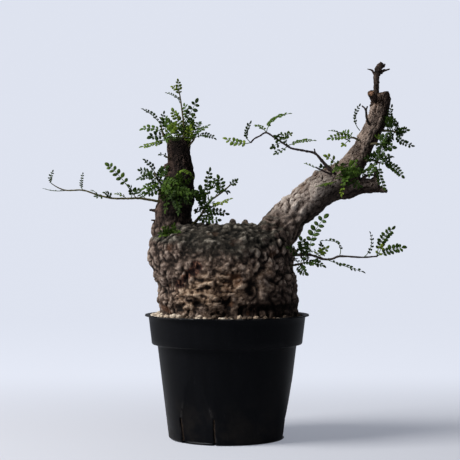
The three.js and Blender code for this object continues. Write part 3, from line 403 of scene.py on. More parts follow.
        "young": 0.25,
        "twigs": [
            [(50, -12, 167, 1.9), (64, -22, 167.2, 1.7), (75, -23, 167.5, 1.5), (88, -23, 163.5, 1.4),
             (96, -22, 163.5, 1.3), (104, -22, 166, 1.2), (124, -20, 165, 1), (137.5, -19, 166, 0.9)],
        ],
        "leaves": [
            ((90, -22.8, 163.5), (106, -25, 157.5), (127, -26, 151), 8, 4.6, -58, 0.5),
            ((103, -22, 165.8), (101, -19, 178), (84, -17, 180), 7, 3.8, 58, 0.45),
            ((125, -20, 165), (132, -21, 175), (130.5, -22, 189), 6, 3, 48, 0.45),
            ((137, -19, 165.8), (142, -21, 181), (154, -22, 193), 7, 4.8, 28, 0.6),
            ((137, -19, 165.8), (150, -17, 171.5), (164, -15, 174.5), 6, 5.2, -18, 0.55),
            ((76, -23, 167.3), (79, -22, 186), (93, -20, 205), 6, 6.0, -14, 0.5),
            ((80, -23, 166.3), (86, -30, 170), (93, -34, 175), 4, 4.2, 40, 0.7),
            ((66, -22, 167.3), (69.5, -26, 175), (66, -28, 184), 4, 5, 0, 0.15),
            ((137, -19, 166), (140, -22, 171), (142, -23, 177), 2, 4.4, 10, 0.95),
            ((66, -22, 167.3), (61, -29, 171), (55, -33, 174), 3, 4.8, 10, 0.2),
        ],
        "tufts": [((84, -24, 168), (4, 2, 2), 4, 9, 0.7), ((66, -24, 170), (3, 2, 3), 2, 9, 0.25)],
    },
    "lower_leaf_shoot": {
        "twigs": [
            [(50, -14, 156, 1.7), (62, -22, 158, 1.4), (69, -24, 159.5, 1.1)],
        ],
        "leaves": [
            ((67, -23.5, 159), (79, -27, 160), (90, -29, 156), 6, 4.8, -35, 0.15),
            ((65, -23, 158.6), (68, -30, 154), (74, -35, 149), 4, 4.8, 30, 0.2),
        ],
        "tufts": [((66, -24, 160), (3, 2, 2), 4, 12, 0.2)],
    },
    "stem_back_spray": {
        "twigs": [
            [(-45, 12, 224, 1.9), (-42, 22, 230, 1.5), (-41, 27, 236, 1.2)],
        ],
        "leaves": [
            ((-41, 26, 235), (-50, 31, 241), (-60, 33, 243), 5, 5.4, 160, 0.35),
            ((-41, 27, 236), (-39, 31, 245), (-34, 33, 254), 5, 5.4, 180, 0.45),
            ((-42, 22, 230), (-46, 31, 226), (-52, 37, 220), 5, 5.4, 160, 0.3),
            ((-42, 23, 231), (-34, 31, 226), (-27, 36, 219), 5, 5.4, 200, 0.4),
        ],
        "tufts": [((-43, 26, 232), (5, 3, 5), 5, 15, 0.35)],
    },
    "limb_back_spray": {
        "twigs": [
            [(92, 6, 228, 1.9), (91, 17, 234, 1.5), (92, 22, 240, 1.2)],
        ],
        "leaves": [
            ((92, 21, 238), (85, 28, 240), (78, 33, 237), 5, 5, 160, 0.4),
            ((92, 22, 240), (96, 28, 246), (99, 33, 250), 5, 5, 180, 0.5),
            ((91.5, 20, 238), (101, 27, 242), (111, 30, 243), 5, 5.4, 200, 0.45),
            ((91, 18, 235), (98, 27, 231), (104, 33, 225), 5, 5.4, 200, 0.35),
        ],
        "tufts": [((92, 20, 238), (4, 3, 4), 5, 15, 0.4)],
    },
    "limb_upper_back_spray": {
        "twigs": [
            [(136, 4, 288, 1.6), (138, 13, 292, 1.3), (139, 16, 297, 1)],
        ],
        "leaves": [
            ((139, 16, 296), (138, 21, 303), (140, 24, 311), 5, 4.6, 170, 0.4),
            ((138, 13.5, 292.7), (134, 22, 289), (133, 28, 283), 5, 4.6, 160, 0.45),
            ((138, 13.5, 292.5), (146, 20, 289), (155, 24, 286), 5, 5, 200, 0.35),
        ],
        "tufts": [((138, 14, 294), (3, 3, 4), 4, 14, 0.4)],
    },
}

# Numbers and shapes. Clouds, pebbles, knobs and cracks each take a seed of their own after the points.

def steps(low, high, values):
    """Smooth step: 0 below low, 1 above high, and 3t^2 - 2t^3 between them, with t running from 0 to 1."""
    t = np.clip((values - low) / (high - low), 0, 1)
    return t * t * (3 - 2 * t)


def unit(vectors):
    """Vectors over their lengths."""
    return vectors / np.maximum(np.linalg.norm(vectors, axis=-1, keepdims=True), 1e-9)


def sighted(points):
    """Points in the picture's own measure to their place in space: x and z move away from the eye's axis by
    1 + y / distance, and y stays."""
    points = np.asarray(points, float)
    grow = 1 + points[..., 1] / EYE_DISTANCE
    x = EYE_X + (points[..., 0] - EYE_X) * grow
    z = EYE_Z + (points[..., 2] - EYE_Z) * grow
    return np.stack([x, points[..., 1], z], axis=-1)


def smooth_rows(rows, count):
    """A smooth curve through rows: between rows b and c, with a before and d after, the value at t is
    b + t(c - a)/2 + t^2(2a - 5b + 4c - d)/2 + t^3(3b - a - 3c + d)/2, at count even steps from first to last."""
    rows = np.asarray(rows, float)
    padded = np.vstack([2 * rows[0] - rows[1], rows, 2 * rows[-1] - rows[-2]])
    place = np.linspace(0, len(rows) - 1, count)
    k = np.minimum(place.astype(int), len(rows) - 2)
    t = (place - k)[:, None]
    a, b, c, d = (padded[k + i] for i in range(4))
    return b + t * (c - a) / 2 + t**2 * (2 * a - 5 * b + 4 * c - d) / 2 + t**3 * (3 * b - a - 3 * c + d) / 2


def lattice_random(cells, seed, count):
    """Repeatable random numbers from 0 to 1 for whole-numbered cells: a mix of multiples and shifts of the indices."""
    i = cells.astype(np.int64)
    mixed = (i[..., 0] * 73856093) ^ (i[..., 1] * 19349663) ^ (i[..., 2] * 83492791) ^ (seed * 40503 + 977)
    numbers = []
    for k in range(count):
        mixed = ((mixed ^ (mixed >> 15)) * 2246822519 + 3266489917 * (k + 1)) & 0xFFFFFFFF
        mixed = ((mixed ^ (mixed >> 13)) * 668265263) & 0xFFFFFFFF
        numbers.append((mixed ^ (mixed >> 16)) / 4294967296.0)
    return np.stack(numbers, axis=-1)


def clouds(points, seed):
    """Value noise from -1 to 1: random corner values of unit cells, blended by the smooth step along x, y and z."""
    cell = np.floor(points)
    t = points - cell
    t = t * t * (3 - 2 * t)
    total = np.zeros(len(points))
    for corner in np.ndindex(2, 2, 2):
        weight = np.prod(np.where(np.array(corner) == 1, t, 1 - t), axis=1)
        total += weight * lattice_random(cell + np.array(corner), seed, 1)[:, 0]
    return 2 * total - 1


def pebbles(points, seed):
    """Cellular noise with one random seed in every unit cell: how much further from a point the second nearest seed
    is than the nearest, and the nearest one's own random number."""
    cell = np.floor(points)
    first = np.full(len(points), 9.0)
    second = np.full(len(points), 9.0)
    own = np.zeros(len(points))
    for offset in np.ndindex(3, 3, 3):
        near = cell + np.array(offset) - 1
        chance = lattice_random(near, seed, 4)
        far = np.linalg.norm(points - (near + 0.5 + 0.85 * (chance[:, :3] - 0.5)), axis=1)
        closer = far < first
        second = np.where(closer, first, np.minimum(second, far))
        own = np.where(closer, chance[:, 3], own)
        first = np.where(closer, far, first)
    return second - first, own


def warped(points, size, amount, seed):
    """Points over size, each pushed aside by three clouds of about that size, times amount."""
    push = np.stack([clouds(points / (1.4 * size), seed + k) for k in range(3)], axis=1)
    return points / size + amount * push


def tubes(paths, radii, sides):
    """Rings of a round section carried along paths: ring k of each tube is its path's point k plus
    radius k (cos angle * normal + sin angle * binormal). Paths are (tubes, rings, 3), radii (tubes, rings)."""
    tangent = unit(np.gradient(paths, axis=1))
    reach = np.abs(paths[:, -1] - paths[:, 0])
    reference = np.eye(3)[np.argmin(reach, axis=1)][:, None, :]
    normal = unit(np.cross(tangent, np.broadcast_to(reference, tangent.shape)))
    binormal = np.cross(tangent, normal)
    angle = 2 * np.pi * np.arange(sides) / sides
    ring = np.cos(angle)[:, None] * normal[:, :, None, :] + np.sin(angle)[:, None] * binormal[:, :, None, :]
    return paths[:, :, None, :] + radii[:, :, None, None] * ring


class Shell:
    """Points and faces of one piece, gathered from many closed shapes, with a tone and a pattern place per point."""

    def __init__(self):
        self.points, self.faces, self.finishes, self.tones, self.places = [], [], [], [], []
        self.count = 0

    def add(self, points, faces, finish=0, tone=0.0, places=None):
        """Adds points (n, 3) with faces, a list of index rows, that use one finish."""
        self.points.append(points)
        self.faces.extend((face + self.count).tolist() for face in faces)
        self.finishes.extend([finish] * sum(len(face) for face in faces))
        self.tones.append(np.broadcast_to(tone, len(points)))
        self.places.append(np.zeros((len(points), 2)) if places is None else places)
        self.count += len(points)

    def add_rings(self, rings, finish=0, tone=0.0):
        """Adds closed lofts: quads between the rings (shapes, rings, sides, 3) of each shape, and a fan from each end
        ring to its middle."""
        shapes, rows, sides, _ = rings.shape
        ends = np.stack([rings[:, 0].mean(1), rings[:, -1].mean(1)], axis=1)
        points = np.concatenate([rings.reshape(shapes, -1, 3), ends], axis=1)
        quads, fans = loft_faces(rows, sides)
        step = (rows * sides + 2) * np.arange(shapes)[:, None, None]
        tone = np.repeat(np.broadcast_to(tone, shapes), rows * sides + 2)
        self.add(points.reshape(-1, 3), [(quads + step).reshape(-1, 4), (fans + step).reshape(-1, 3)], finish, tone)

    def mesh(self, name):
        """The mesh in metres, with its tone as an attribute and its pattern places as a UV map."""
        mesh = bpy.data.meshes.new(name)
        faces = [face for group in self.faces for face in group]
        mesh.from_pydata((np.concatenate(self.points) * MM).tolist(), [], faces)
        mesh.polygons.foreach_set("material_index", np.array(self.finishes, np.int32))
        mesh.polygons.foreach_set("use_smooth", np.ones(len(faces), bool))
        corner_points = np.zeros(len(mesh.loops), np.int32)
        mesh.loops.foreach_get("vertex_index", corner_points)
        places = np.concatenate(self.places)[corner_points]
        mesh.uv_layers.new(name="place").data.foreach_set("uv", places.ravel())
        set_attribute(mesh, "tone", np.concatenate(self.tones))
        return mesh


def loft_faces(rows, sides):
    """Faces of one loft: quads between neighbouring rings, and triangles from the two middles to the end rings."""
    low = np.arange((rows - 1) * sides).reshape(rows - 1, sides)
    turned = np.roll(low, -1, axis=1)
    quads = np.stack([low, turned, turned + sides, low + sides], axis=-1).reshape(-1, 4)
    ring = np.arange(sides)
    last = (rows - 1) * sides
    start = np.stack([np.full(sides, rows * sides), np.roll(ring, -1), ring], axis=-1)
    end = np.stack([np.full(sides, rows * sides + 1), last + ring, last + np.roll(ring, -1)], axis=-1)
    return quads, np.concatenate([start, end])


def set_attribute(mesh, name, values):
    """One number for each point of a mesh, under a name that materials read."""
    mesh.attributes.new(name, "FLOAT", "POINT").data.foreach_set("value", np.asarray(values, np.float32))


def get_points(mesh, what="co", of="vertices"):
    """Positions, or another vector, of a mesh's vertices as an array of rows."""
    source = getattr(mesh, of)
    values = np.zeros(3 * len(source), np.float32)
    source.foreach_get(what, values)
    return values.reshape(-1, 3).astype(float)


def place_piece(name, mesh, nodes, finishes):
    """Puts a finished mesh in the scene as a piece that stands for CAD nodes."""
    piece = bpy.data.objects.new(name, mesh)
    bpy.context.scene.collection.objects.link(piece)
    for finish in finishes:
        mesh.materials.append(finish)
    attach(piece, "root")
    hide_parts(*nodes)


def applied(mesh, modifiers):
    """A new mesh: the given one with modifiers applied, each a type and its settings."""
    carrier = bpy.data.objects.new("carrier", mesh)
    bpy.context.scene.collection.objects.link(carrier)
    for kind, settings in modifiers:
        modifier = carrier.modifiers.new(kind.lower(), kind)
        for setting, value in settings.items():
            setattr(modifier, setting, value)
    view = bpy.context.evaluated_depsgraph_get()
    finished = bpy.data.meshes.new_from_object(carrier.evaluated_get(view))
    bpy.data.objects.remove(carrier)
    return finished


# Materials as expressions

class Value:
    """A socket in an expression: each operator adds its Math node to the board."""

    def __init__(self, board, socket):
        self.board, self.socket = board, socket

    def join(self, operation, *others):
        """The value with others under a Math node's operation."""
        return self.board.math(operation, self, *others)

    def __add__(self, other):
        return self.join("ADD", other)

    def __sub__(self, other):
        return self.join("SUBTRACT", other)

    def __rsub__(self, other):
        return self.board.math("SUBTRACT", other, self)

    def __mul__(self, other):
        return self.join("MULTIPLY", other)

    __radd__ = __add__
    __rmul__ = __mul__


class Board:
    """The node tree of one material, with a Principled shader whose constants are given by name."""

    def __init__(self, name, constants=None):
        self.material = bpy.data.materials.new(name)
        self.material.use_nodes = True
        self.tree = self.material.node_tree
        self.shader = next(n for n in self.tree.nodes if n.type == "BSDF_PRINCIPLED")
        for socket, value in (constants or {}).items():
            self.shader.inputs[socket].default_value = value

    def node(self, kind, settings=None, sockets=None, out=0):
        """One node: its type, its settings, then the values or links of its sockets by name or number."""
        made = self.tree.nodes.new("ShaderNode" + kind)
        for setting, value in (settings or {}).items():
            if setting == "stops":
                ramp = made.color_ramp.elements
                while len(ramp) < len(value):
                    ramp.new(0.5)
                for element, (position, colour) in zip(ramp, value):
                    element.position = position
                    element.color = (*colour, 1)
            else:
                setattr(made, setting, value)
        for socket, value in (sockets or {}).items():
            self.feed(made.inputs[socket], value)
        return Value(self, made.outputs[out])

    def feed(self, socket, value):
        """Links a value's socket, or sets a number or colour."""
        if isinstance(value, Value):
            self.tree.links.new(value.socket, socket)
        elif isinstance(value, tuple) and len(value) == 3 and socket.type == "RGBA":
            socket.default_value = (*value, 1)
        else:
            socket.default_value = value

    def math(self, operation, *terms):
        """A Math node over its terms."""
        return self.node("Math", {"operation": operation}, dict(enumerate(terms)))

    def ease(self, value, low, high):
        """0 below low and 1 above high, smoothly."""
        settings = {"interpolation_type": "SMOOTHSTEP"}
        return self.node("MapRange", settings, {"Value": value, "From Min": low, "From Max": high})

    def mix(self, share, first, second, blend="MIX"):
        """A colour from first to second by share."""
        settings = {"data_type": "RGBA", "blend_type": blend}
        return self.node("Mix", settings, {0: share, 6: first, 7: second}, out=2)

    def ramp(self, value, *stops):
        """A colour read off stops of a position and its colour."""
        return self.node("ValToRGB", {"stops": stops}, {"Fac": value})

    def place(self, scale=(1, 1, 1)):
        """Object coordinates, stretched along each axis."""
        coordinates = self.node("TexCoord", out=3)
        return self.node("Mapping", {}, {"Vector": coordinates, "Scale": scale})

    def noise(self, place, scale, detail=3.0, roughness=0.55):
        """Soft noise, about 0.5 in the middle."""
        return self.node("TexNoise", {}, {"Vector": place, "Scale": scale, "Detail": detail, "Roughness": roughness})

    def cells(self, place, scale, feature="F1"):
        """Distance to the nearest of scattered points."""
        return self.node("TexVoronoi", {"feature": feature}, {"Vector": place, "Scale": scale})

    def painted(self, name):
        """A number that was painted on the mesh's points."""
        return self.node("Attribute", {"attribute_name": name}, out=2)

    def bump(self, height, distance, strength, under=None):
        """A normal that heights tilt, over the one below it."""
        sockets = {"Height": height, "Distance": distance, "Strength": strength}
        if under:
            sockets["Normal"] = under
        return self.node("Bump", {}, sockets)

    def finish(self, colour, roughness, normal):
        """Feeds the shader and returns the material."""
        for socket, value in (("Base Color", colour), ("Roughness", roughness), ("Normal", normal)):
            self.feed(self.shader.inputs[socket], value)
        return self.material


# Wood

def caudex_section(height):
    """Half width, half depth and shift of the caudex at a height, read off its levels."""
    return [np.interp(height, CAUDEX_LEVELS[:, 0], CAUDEX_LEVELS[:, k]) for k in (1, 2, 3)]


def rounded(value):
    """A cosine or sine raised to 2 / squareness with its sign kept, which squares an ellipse off."""
    return np.sign(value) * np.abs(value) ** (2 / CAUDEX_SQUARENESS)


def caudex_rings(rows, sides):
    """Smooth form of the caudex: at each height x = shift + half width * rounded cos, y = half depth * rounded sin."""
    height, width, depth, shift = smooth_rows(CAUDEX_LEVELS, rows).T[:, :, None]
    angle = 2 * np.pi * np.arange(sides) / sides
    x = shift + width * rounded(np.cos(angle))
    y = depth * rounded(np.sin(angle))
    return np.stack([x, y, height + 0 * x], axis=-1)[None]


def limb_path(rows, count):
    """A limb's middle line and radii at even steps, on its sight lines."""
    smooth = smooth_rows(rows, count)
    return sighted(smooth[:, :3]), smooth[:, 3]


def limb_rings(rows, count, sides):
    """The rings round a limb's line."""
    path, radii = limb_path(rows, count)
    return tubes(path[None], radii[None], sides)


def globes(centres, radii, rows, sides):
    """Spheres: ring k of rows stands at the polar angle pi (k + 1/2) / rows."""
    polar = np.pi * (np.arange(rows) + 0.5) / rows
    angle = 2 * np.pi * np.arange(sides) / sides
    x = np.sin(polar)[:, None] * np.cos(angle)
    y = np.sin(polar)[:, None] * np.sin(angle)
    z = -np.cos(polar)[:, None] + 0 * x
    return centres[:, None, None, :] + radii[:, None, None, None] * np.stack([x, y, z], axis=-1)


def bark_place(path, points):
    """Where points lie by a limb: how far along its line they are, and how far off it sideways and in depth."""
    tangent = unit(np.gradient(path, axis=0))
    length = np.concatenate([[0], np.cumsum(np.linalg.norm(np.diff(path, axis=0), axis=1))])
    square = (path**2).sum(1) - 2 * points @ path.T
    nearest = np.argmin(square, axis=1)
    off = points - path[nearest]
    along = (off * tangent[nearest]).sum(1)
    side = np.cross(tangent[nearest], np.array([0.0, 1.0, 0.0]))
    return length[nearest] + along, (off * side).sum(1), off[:, 1]


def nearby_mean(values, quads, rounds):
    """Values averaged half and half with the mean of their neighbours along the quads' edges, round after round."""
    start, end = quads.ravel(), np.roll(quads, -1, axis=1).ravel()
    count = np.bincount(start, minlength=len(values)) + np.bincount(end, minlength=len(values))
    for _ in range(rounds):
        total = np.bincount(start, values[end], len(values)) + np.bincount(end, values[start], len(values))
        values = 0.5 * values + 0.5 * total / count
    return values


def front_place(points, x, z, width, height):
    """1 in the middle of a round place on the front, falling off as exp(-d^2), and 0 on the far side."""
    far = ((points[:, 0] - x) / width) ** 2 + ((points[:, 2] - z) / height) ** 2
    return np.exp(-far) * steps(6, -14, points[:, 1])


def front_share(points, places):
    """The sum of round places on the front, each times its share."""
    return sum(share * front_place(points, *place) for share, *place in places)


def behind_share(points):
    """0 in front and 1 behind, where the bark changes in patches instead of places."""
    return steps(-20, 10, points[:, 1])


def knobs(points, seed, share, smallest, largest):
    """Round knobs: a ball in each unit cell that chance keeps, its middle and radius random. The height at a point is
    the largest sqrt(radius^2 - distance^2) of the balls over it."""
    cell = np.floor(points)
    height = np.zeros(len(points))
    for offset in np.ndindex(3, 3, 3):
        near = cell + np.array(offset) - 1
        chance = lattice_random(near, seed, 5)
        square = ((points - near - 0.1 - 0.8 * chance[:, :3]) ** 2).sum(1)
        radius = (smallest + (largest - smallest) * chance[:, 3]) * (chance[:, 4] < share)
        height = np.maximum(height, np.sqrt(np.clip(radius**2 - square, 0, None)))
    return height


def cracks(points, seed, width):
    """Winding cracks: 1 along the lines where clouds are zero, easing to 0 where they reach width."""
    return 1 - steps(0, width, np.abs(clouds(points, seed)))


def wart_relief(points):
    """Relief of the caudex: lumps, round knobs of two sizes with creases between them, level layers and blocks low
    in front and in patches behind, gentle level rolls high in front, balls high on the right, and winding cracks. A
    crease is where clouds are zero, because the relief follows the root of their size there."""
    behind = behind_share(points)
    patch = clouds(points / 27, 5)
    slabby = behind * steps(0.15, 0.5, patch) * steps(168, 150, points[:, 2])
    slabby = np.clip(front_share(points, SLAB_PLACES) + slabby, 0, 1)
    slabby *= 0.25 + 0.75 * steps(-0.55, 0.1, clouds(points / 9, 41))
    smooth = np.clip(front_share(points, ROLL_PLACES) + behind * steps(-0.1, -0.45, patch), 0, 1)
    right = np.clip(front_share(points, BALL_PLACES) + behind * steps(0.15, -0.05, np.abs(patch)), 0, 1)

    fine = 0.9 * clouds(points / 5.6, 8) + 0.55 * clouds(points / 2.4, 9)
    lump = 1.6 * clouds(warped(points, 15.0, 0.3, 3), 7) + fine
    tall = points * np.array([1.0, 1.0, 0.75])
    large = 6.0 * knobs(warped(tall, 9.5, 0.25, 13), 15, 0.55, 0.28, 0.62)
    small = 3.4 * knobs(warped(points, 5.4, 0.2, 17), 19, 0.6, 0.25, 0.6)
    swell = np.sqrt(np.abs(clouds(warped(tall, 8.0, 0.3, 83), 85)))
    creased = 3.6 * swell + 1.5 * np.abs(clouds(warped(points, 3.8, 0.3, 87), 89)) - 1.2
    level = warped(points, 11.0, 0.3, 23) * np.array([1.0, 1.0, 2.7])
    gap, own = pebbles(level, 29)
    layers = 3.9 * np.sqrt(np.abs(clouds(level, 107))) + 1.7 * np.abs(clouds(2.3 * level, 109)) - 1.3
    blocks = 2.9 * np.sqrt(np.clip(gap, 0, 0.6)) + 1.9 * own - 0.6
    slab = 0.65 * layers + 0.45 * blocks + 0.3 * small + 0.25 * creased - 0.3
    rolls = 1.2 * clouds(points / np.array([17, 17, 5.0]), 33) + 0.55 * small + 0.45 * creased
    knobby = np.maximum(large, creased) + 0.5 * small
    balls = 5.6 * knobs(warped(tall, 7.2, 0.3, 103), 105, 0.8, 0.3, 0.58) + 0.4 * creased + 0.5 * small - 1.2
    knobby += right * (balls - knobby)
    broken = steps(-0.1, 0.6, clouds(points / 9, 39)) * (1 - 0.8 * smooth)
    deep = 1.9 * cracks(warped(points, 13.0, 0.35, 35), 37, 0.06) * broken
    return lump + (1 - slabby) * (1 - smooth) * knobby + slabby * slab + smooth * rolls - deep - 1.5


def split_bark(points, along, side, forward, length, width, seed):
    """Relief of bark split lengthwise: winding cracks of three sizes, stretched to length by width, between lumps."""
    flow = np.stack([along / length, side / width, forward / width], axis=1)
    flow += 0.3 * np.stack([clouds(points / 8, seed + k) for k in range(3)], axis=1)
    lump = 1.1 * clouds(points / 7.5, seed + 9) + 0.5 * clouds(points / 2.6, seed + 11)
    split = 1.5 * cracks(flow, seed + 5, 0.08) + 0.9 * cracks(2.1 * flow, seed + 7, 0.12)
    return lump - split - 0.5 * cracks(4.3 * flow, seed + 8, 0.2)


def fused_wood():
    """Caudex, sawn stem, great limb, broken fork and burls as closed lofts, fused into one skin of voxels and
    smoothed. Returns its points, normals and quads."""
    shell = Shell()
    shell.add_rings(caudex_rings(60, 96))
    for rows, count, sides in ((SAWN_STEM, 40, 40), (GREAT_LIMB, 70, 40), (BROKEN_FORK, 30, 28), (FORK_SPUR, 12, 16)):
        shell.add_rings(limb_rings(rows, count, sides))
    shell.add_rings(globes(sighted(BURLS[:, :3]), BURLS[:, 3], 10, 16))
    fused = applied(shell.mesh("fused"), [
        ("REMESH", {"mode": "VOXEL", "voxel_size": WOOD_VOXEL * MM}),
        ("SMOOTH", {"factor": 0.5, "iterations": 9}),
    ])
    corners = np.zeros(len(fused.loops), np.int32)
    fused.loops.foreach_get("vertex_index", corners)
    return get_points(fused) / MM, get_points(fused, "vector", "vertex_normals"), corners.reshape(-1, 4)


def burl_share(points):
    """1 on a burl and close to it, and 0 from 2.2 mm off."""
    share = np.zeros(len(points))
    for burl in BURLS:
        far = np.linalg.norm(points - sighted(burl[:3]), axis=1)
        share = np.maximum(share, steps(burl[3] + 2.2, burl[3] + 0.6, far))
    return share


def wound_share(points):
    """Torn bark: exp(-(d / reach)^2) on the front, with d the distance in x and z from the wound's line, made ragged
    by clouds."""
    line = WOUND_END - WOUND_START
    front = points[:, [0, 2]]
    share = np.clip(((front - WOUND_START) @ line) / (line @ line), 0, 1)
    far = np.linalg.norm(front - WOUND_START - share[:, None] * line, axis=1)
    far += 2.4 * clouds(points / 4.5, 61) + 1.5 * clouds(points / 2, 62)
    return np.exp(-((far / WOUND_REACH) ** 2)) * (points[:, 1] < 0)


def moss_share(points):
    """1 in the mossy places and 0 outside them, with a ragged edge."""
    share = np.zeros(len(points))
    for centre, reach in MOSS:
        far = np.linalg.norm((points - sighted(centre)) / np.array(reach), axis=1) + 0.35 * clouds(points / 4, 83)
        share = np.maximum(share, 1 - steps(0.55, 1.0, far))
    return share


def sawn_off(points, places):
    """Points beyond each saw cut, slid back onto its slightly uneven plane along the way it faces, and a share that
    is 1 where they were cut. Places are pairs of cuts and whether a point is near them."""
    cut = np.zeros(len(points))
    for planes, here in places:
        for middle, way in planes:
            way = unit(np.array(way, float))
            over = np.maximum((points - sighted(middle)) @ way + 0.9 * clouds(points / 3.2, 49), 0) * here
            points = points - over[:, None] * way
            cut = np.maximum(cut, steps(0.1, 0.6, over))
    return points, cut


def colour_places(points, normals, pale, ridge):
    """Where the bark's colours change, as shares from 0 to 1: warm low in front, darker low on the right and in patches
    low behind, bloom on top, shade, which is painted shade on what faces right and down and on the right of the limb's
    upper end, and painted light on what faces left."""
    z = points[:, 2]
    right, _, up = normals.T
    patches = clouds(points / 17, 63)
    behind = behind_share(points)
    warm = np.clip(front_share(points, WARM_PLACES) + behind * steps(0.1, 0.5, patches), 0, 1)
    # Darker low on the right in front, and in patches low behind
    damp = 0.6 * behind * steps(140, 118, z) * steps(-0.3, 0.2, patches)
    damp = np.clip(front_share(points, DARKER_LOW_PLACES) + damp, 0, 1)
    bloom = np.clip(front_share(points, BLOOM_PLACES) + steps(0.25, 0.8, up), 0, 1)
    bloom = bloom * (1 - pale) * (1 - 0.8 * ridge) * steps(150, 168, z)
    # Painted shade: darker on what faces right and down, away from the window light, and on the right of the limb's
    # upper end
    shade = steps(-0.05, 0.6, 0.8 * right - 0.65 * up) * steps(172, 190, z)
    shade = np.maximum(shade, 0.75 * steps(280, 305, z) * steps(-0.75, 0.1, right))
    return {"warm": warm, "damp": damp, "bloom": bloom, "shade": shade, "sunny": steps(-0.45, -0.9, right)}


def split_relief(points, limb_place, stem_place):
    """Relief of the limb, split finer and with knobs on its upper half, and of the stem."""
    along = limb_place[0]
    limb = split_bark(points, *limb_place, 19.0, 6.2, 31)
    limb += steps(78, 100, along) * (split_bark(points, *limb_place, 9.0, 4.6, 51) - limb)
    limb += 2.2 * knobs(warped(points, 6.5, 0.2, 71), 73, 0.35, 0.25, 0.5) * (0.3 + 0.7 * steps(95, 125, along))
    stem = 0.8 * split_bark(points, *stem_place, 13.0, 3.6, 41)
    return limb, stem + 1.2 * clouds(points / 9, 43)


def heavy_wood():
    """The fused skin, pushed out along its normals by relief: warts on the caudex, split bark on limb and stem, torn
    bark in the wound. Returns points, quads and the numbers painted on them. Relief tone and shade is high on ridges
    and low in cracks, from how far the relief stands above its own mean nearby, and higher on burls and on the ridge at
    the caudex's rim: it gives painted shade in the hollows and painted light on the crests, over the bark's own darker
    fissures. The others are shares of a place: limb is pale bark, upper is the limb's upper half."""
    points, normals, quads = fused_wood()
    x, _, z = points.T
    limb_place = bark_place(limb_path(GREAT_LIMB, 120)[0], points)
    stem_place = bark_place(limb_path(SAWN_STEM, 80)[0], points)
    along = limb_place[0]
    # The limb's relief begins further along it than its pale colour does.
    limb = steps(52, 78, along + 7 * clouds(points / 8, 46)) * steps(12, 24, x) * steps(184, 196, z)
    pale = steps(22, 54, along + 12 * clouds(points / 7, 45)) * steps(14, 28, x) * steps(182, 194, z)
    upper = steps(80, 105, along) * limb
    stem = steps(190, 206, z) * (1 - steps(-26, -16, x))
    knob, wound = burl_share(points), wound_share(points)
    ridge = knob * steps(193, 197, z) * steps(30, 20, x)

    # Warts at the limb's foot are drawn out along it.
    stretch = steps(14, 34, along) * steps(12, 24, x)
    pull = 0.25 * stretch * ((points - LIMB_FOOT) @ LIMB_FOOT_WAY)
    relief = wart_relief(points - pull[:, None] * LIMB_FOOT_WAY)
    relief *= 1 - 0.5 * knob
    for middle_x, middle_z, width, height, depth in HOLLOWS:
        relief -= depth * front_place(points, middle_x, middle_z, width, height)
    relief += wound * (-2.6 + 1.8 * clouds(points / np.array([2.0, 2.0, 3.2]), 67) - 0.5 * relief)

    limb_bark, stem_bark = split_relief(points, limb_place, stem_place)
    relief += limb * (limb_bark - relief)
    relief += stem * (stem_bark - relief)
    relief = np.clip(relief, RELIEF_LOW, RELIEF_HIGH) * steps(*PIT_FADE, z)

    # Relief tone and shade: painted shade in the hollows and painted light on the crests, over the bark's own darker
    # fissures, and paler on burls and the rim's knobs
    near, far_off = nearby_mean(relief, quads, 12), nearby_mean(relief, quads, 110)
    crest = 0.5 + 0.1 * knob + 0.55 * ridge
    crest += (1 - 0.4 * upper) * (0.42 * (relief - near) + 0.14 * (relief - far_off))
    paints = {"crest": crest, "limb": pale, "upper": upper, "stem": stem, "wound": wound}
    paints |= colour_places(points, normals, pale, ridge)

    saws = [(STEM_CUT, (x < -20) & (z > 262)), (LIMB_CUTS, (x > 125) & (z > 296))]
    points, paints["cut"] = sawn_off(points + relief[:, None] * normals, saws)
    paints["moss"] = moss_share(points)
    return points, quads, paints


def roughened(rings, size, amount, seed):
    """Rings of a twig with each point moved in or out by clouds of the given size."""
    middle = rings.mean(axis=2, keepdims=True)
    push = 1 + amount * clouds(rings.reshape(-1, 3) / size, seed).reshape(rings.shape[:3])[..., None]
    return middle + (rings - middle) * push


def make_wood(bark):
    """The heavy wood with its bare twigs, which are tubes with points moved in or out by clouds."""
    points, quads, paints = heavy_wood()
    shell = Shell()
    shell.add(points, [quads])
    heavy = len(points)
    # Rows, rings, sides, and how much and at what size each twig is roughened
    twigs = [(TOP_TWIG, 70, 18, 0.22, 1.6), (SAWN_TWIG, 18, 18, 0.12, 1.6)]
    twigs += [(rows, 8 * len(rows), 8, 0.25, 1.0) for rows in BARE_TWIGS]
    for number, (rows, count, sides, amount, size) in enumerate(twigs):
        shell.add_rings(roughened(limb_rings(rows, count, sides), size, amount, 90 + number))
    twig_points = np.concatenate(shell.points[1:])
    sawn = np.linalg.norm(twig_points - sighted(SAWN_TWIG[-1][:3]), axis=1)
    # On the bare twigs the relief tone and shade is random tone, and a shade of 0.95 gives them dark brown bark all
    # round
    # A cut of 2 is fresh wood, and 1 weathered.
    added = {"crest": 0.45 + 0.3 * clouds(twig_points / 2, 99), "limb": 1.0, "upper": 1.0, "shade": 0.95,
             "cut": 2 * (sawn < SAWN_TWIG_RADIUS)}
    mesh = shell.mesh("wood")
    for name, values in paints.items():
        rest = np.broadcast_to(added.get(name, 0.0), shell.count - heavy)
        set_attribute(mesh, name, np.concatenate([values, rest]))
    place_piece("warty_wood", mesh, ["wood"], [bark])


# Pot and soil

def panel_turn(angle):
    """Degrees from the middle of the nearest panel: -60 to 60."""
    return (np.degrees(angle) + 180) % 120 - 60


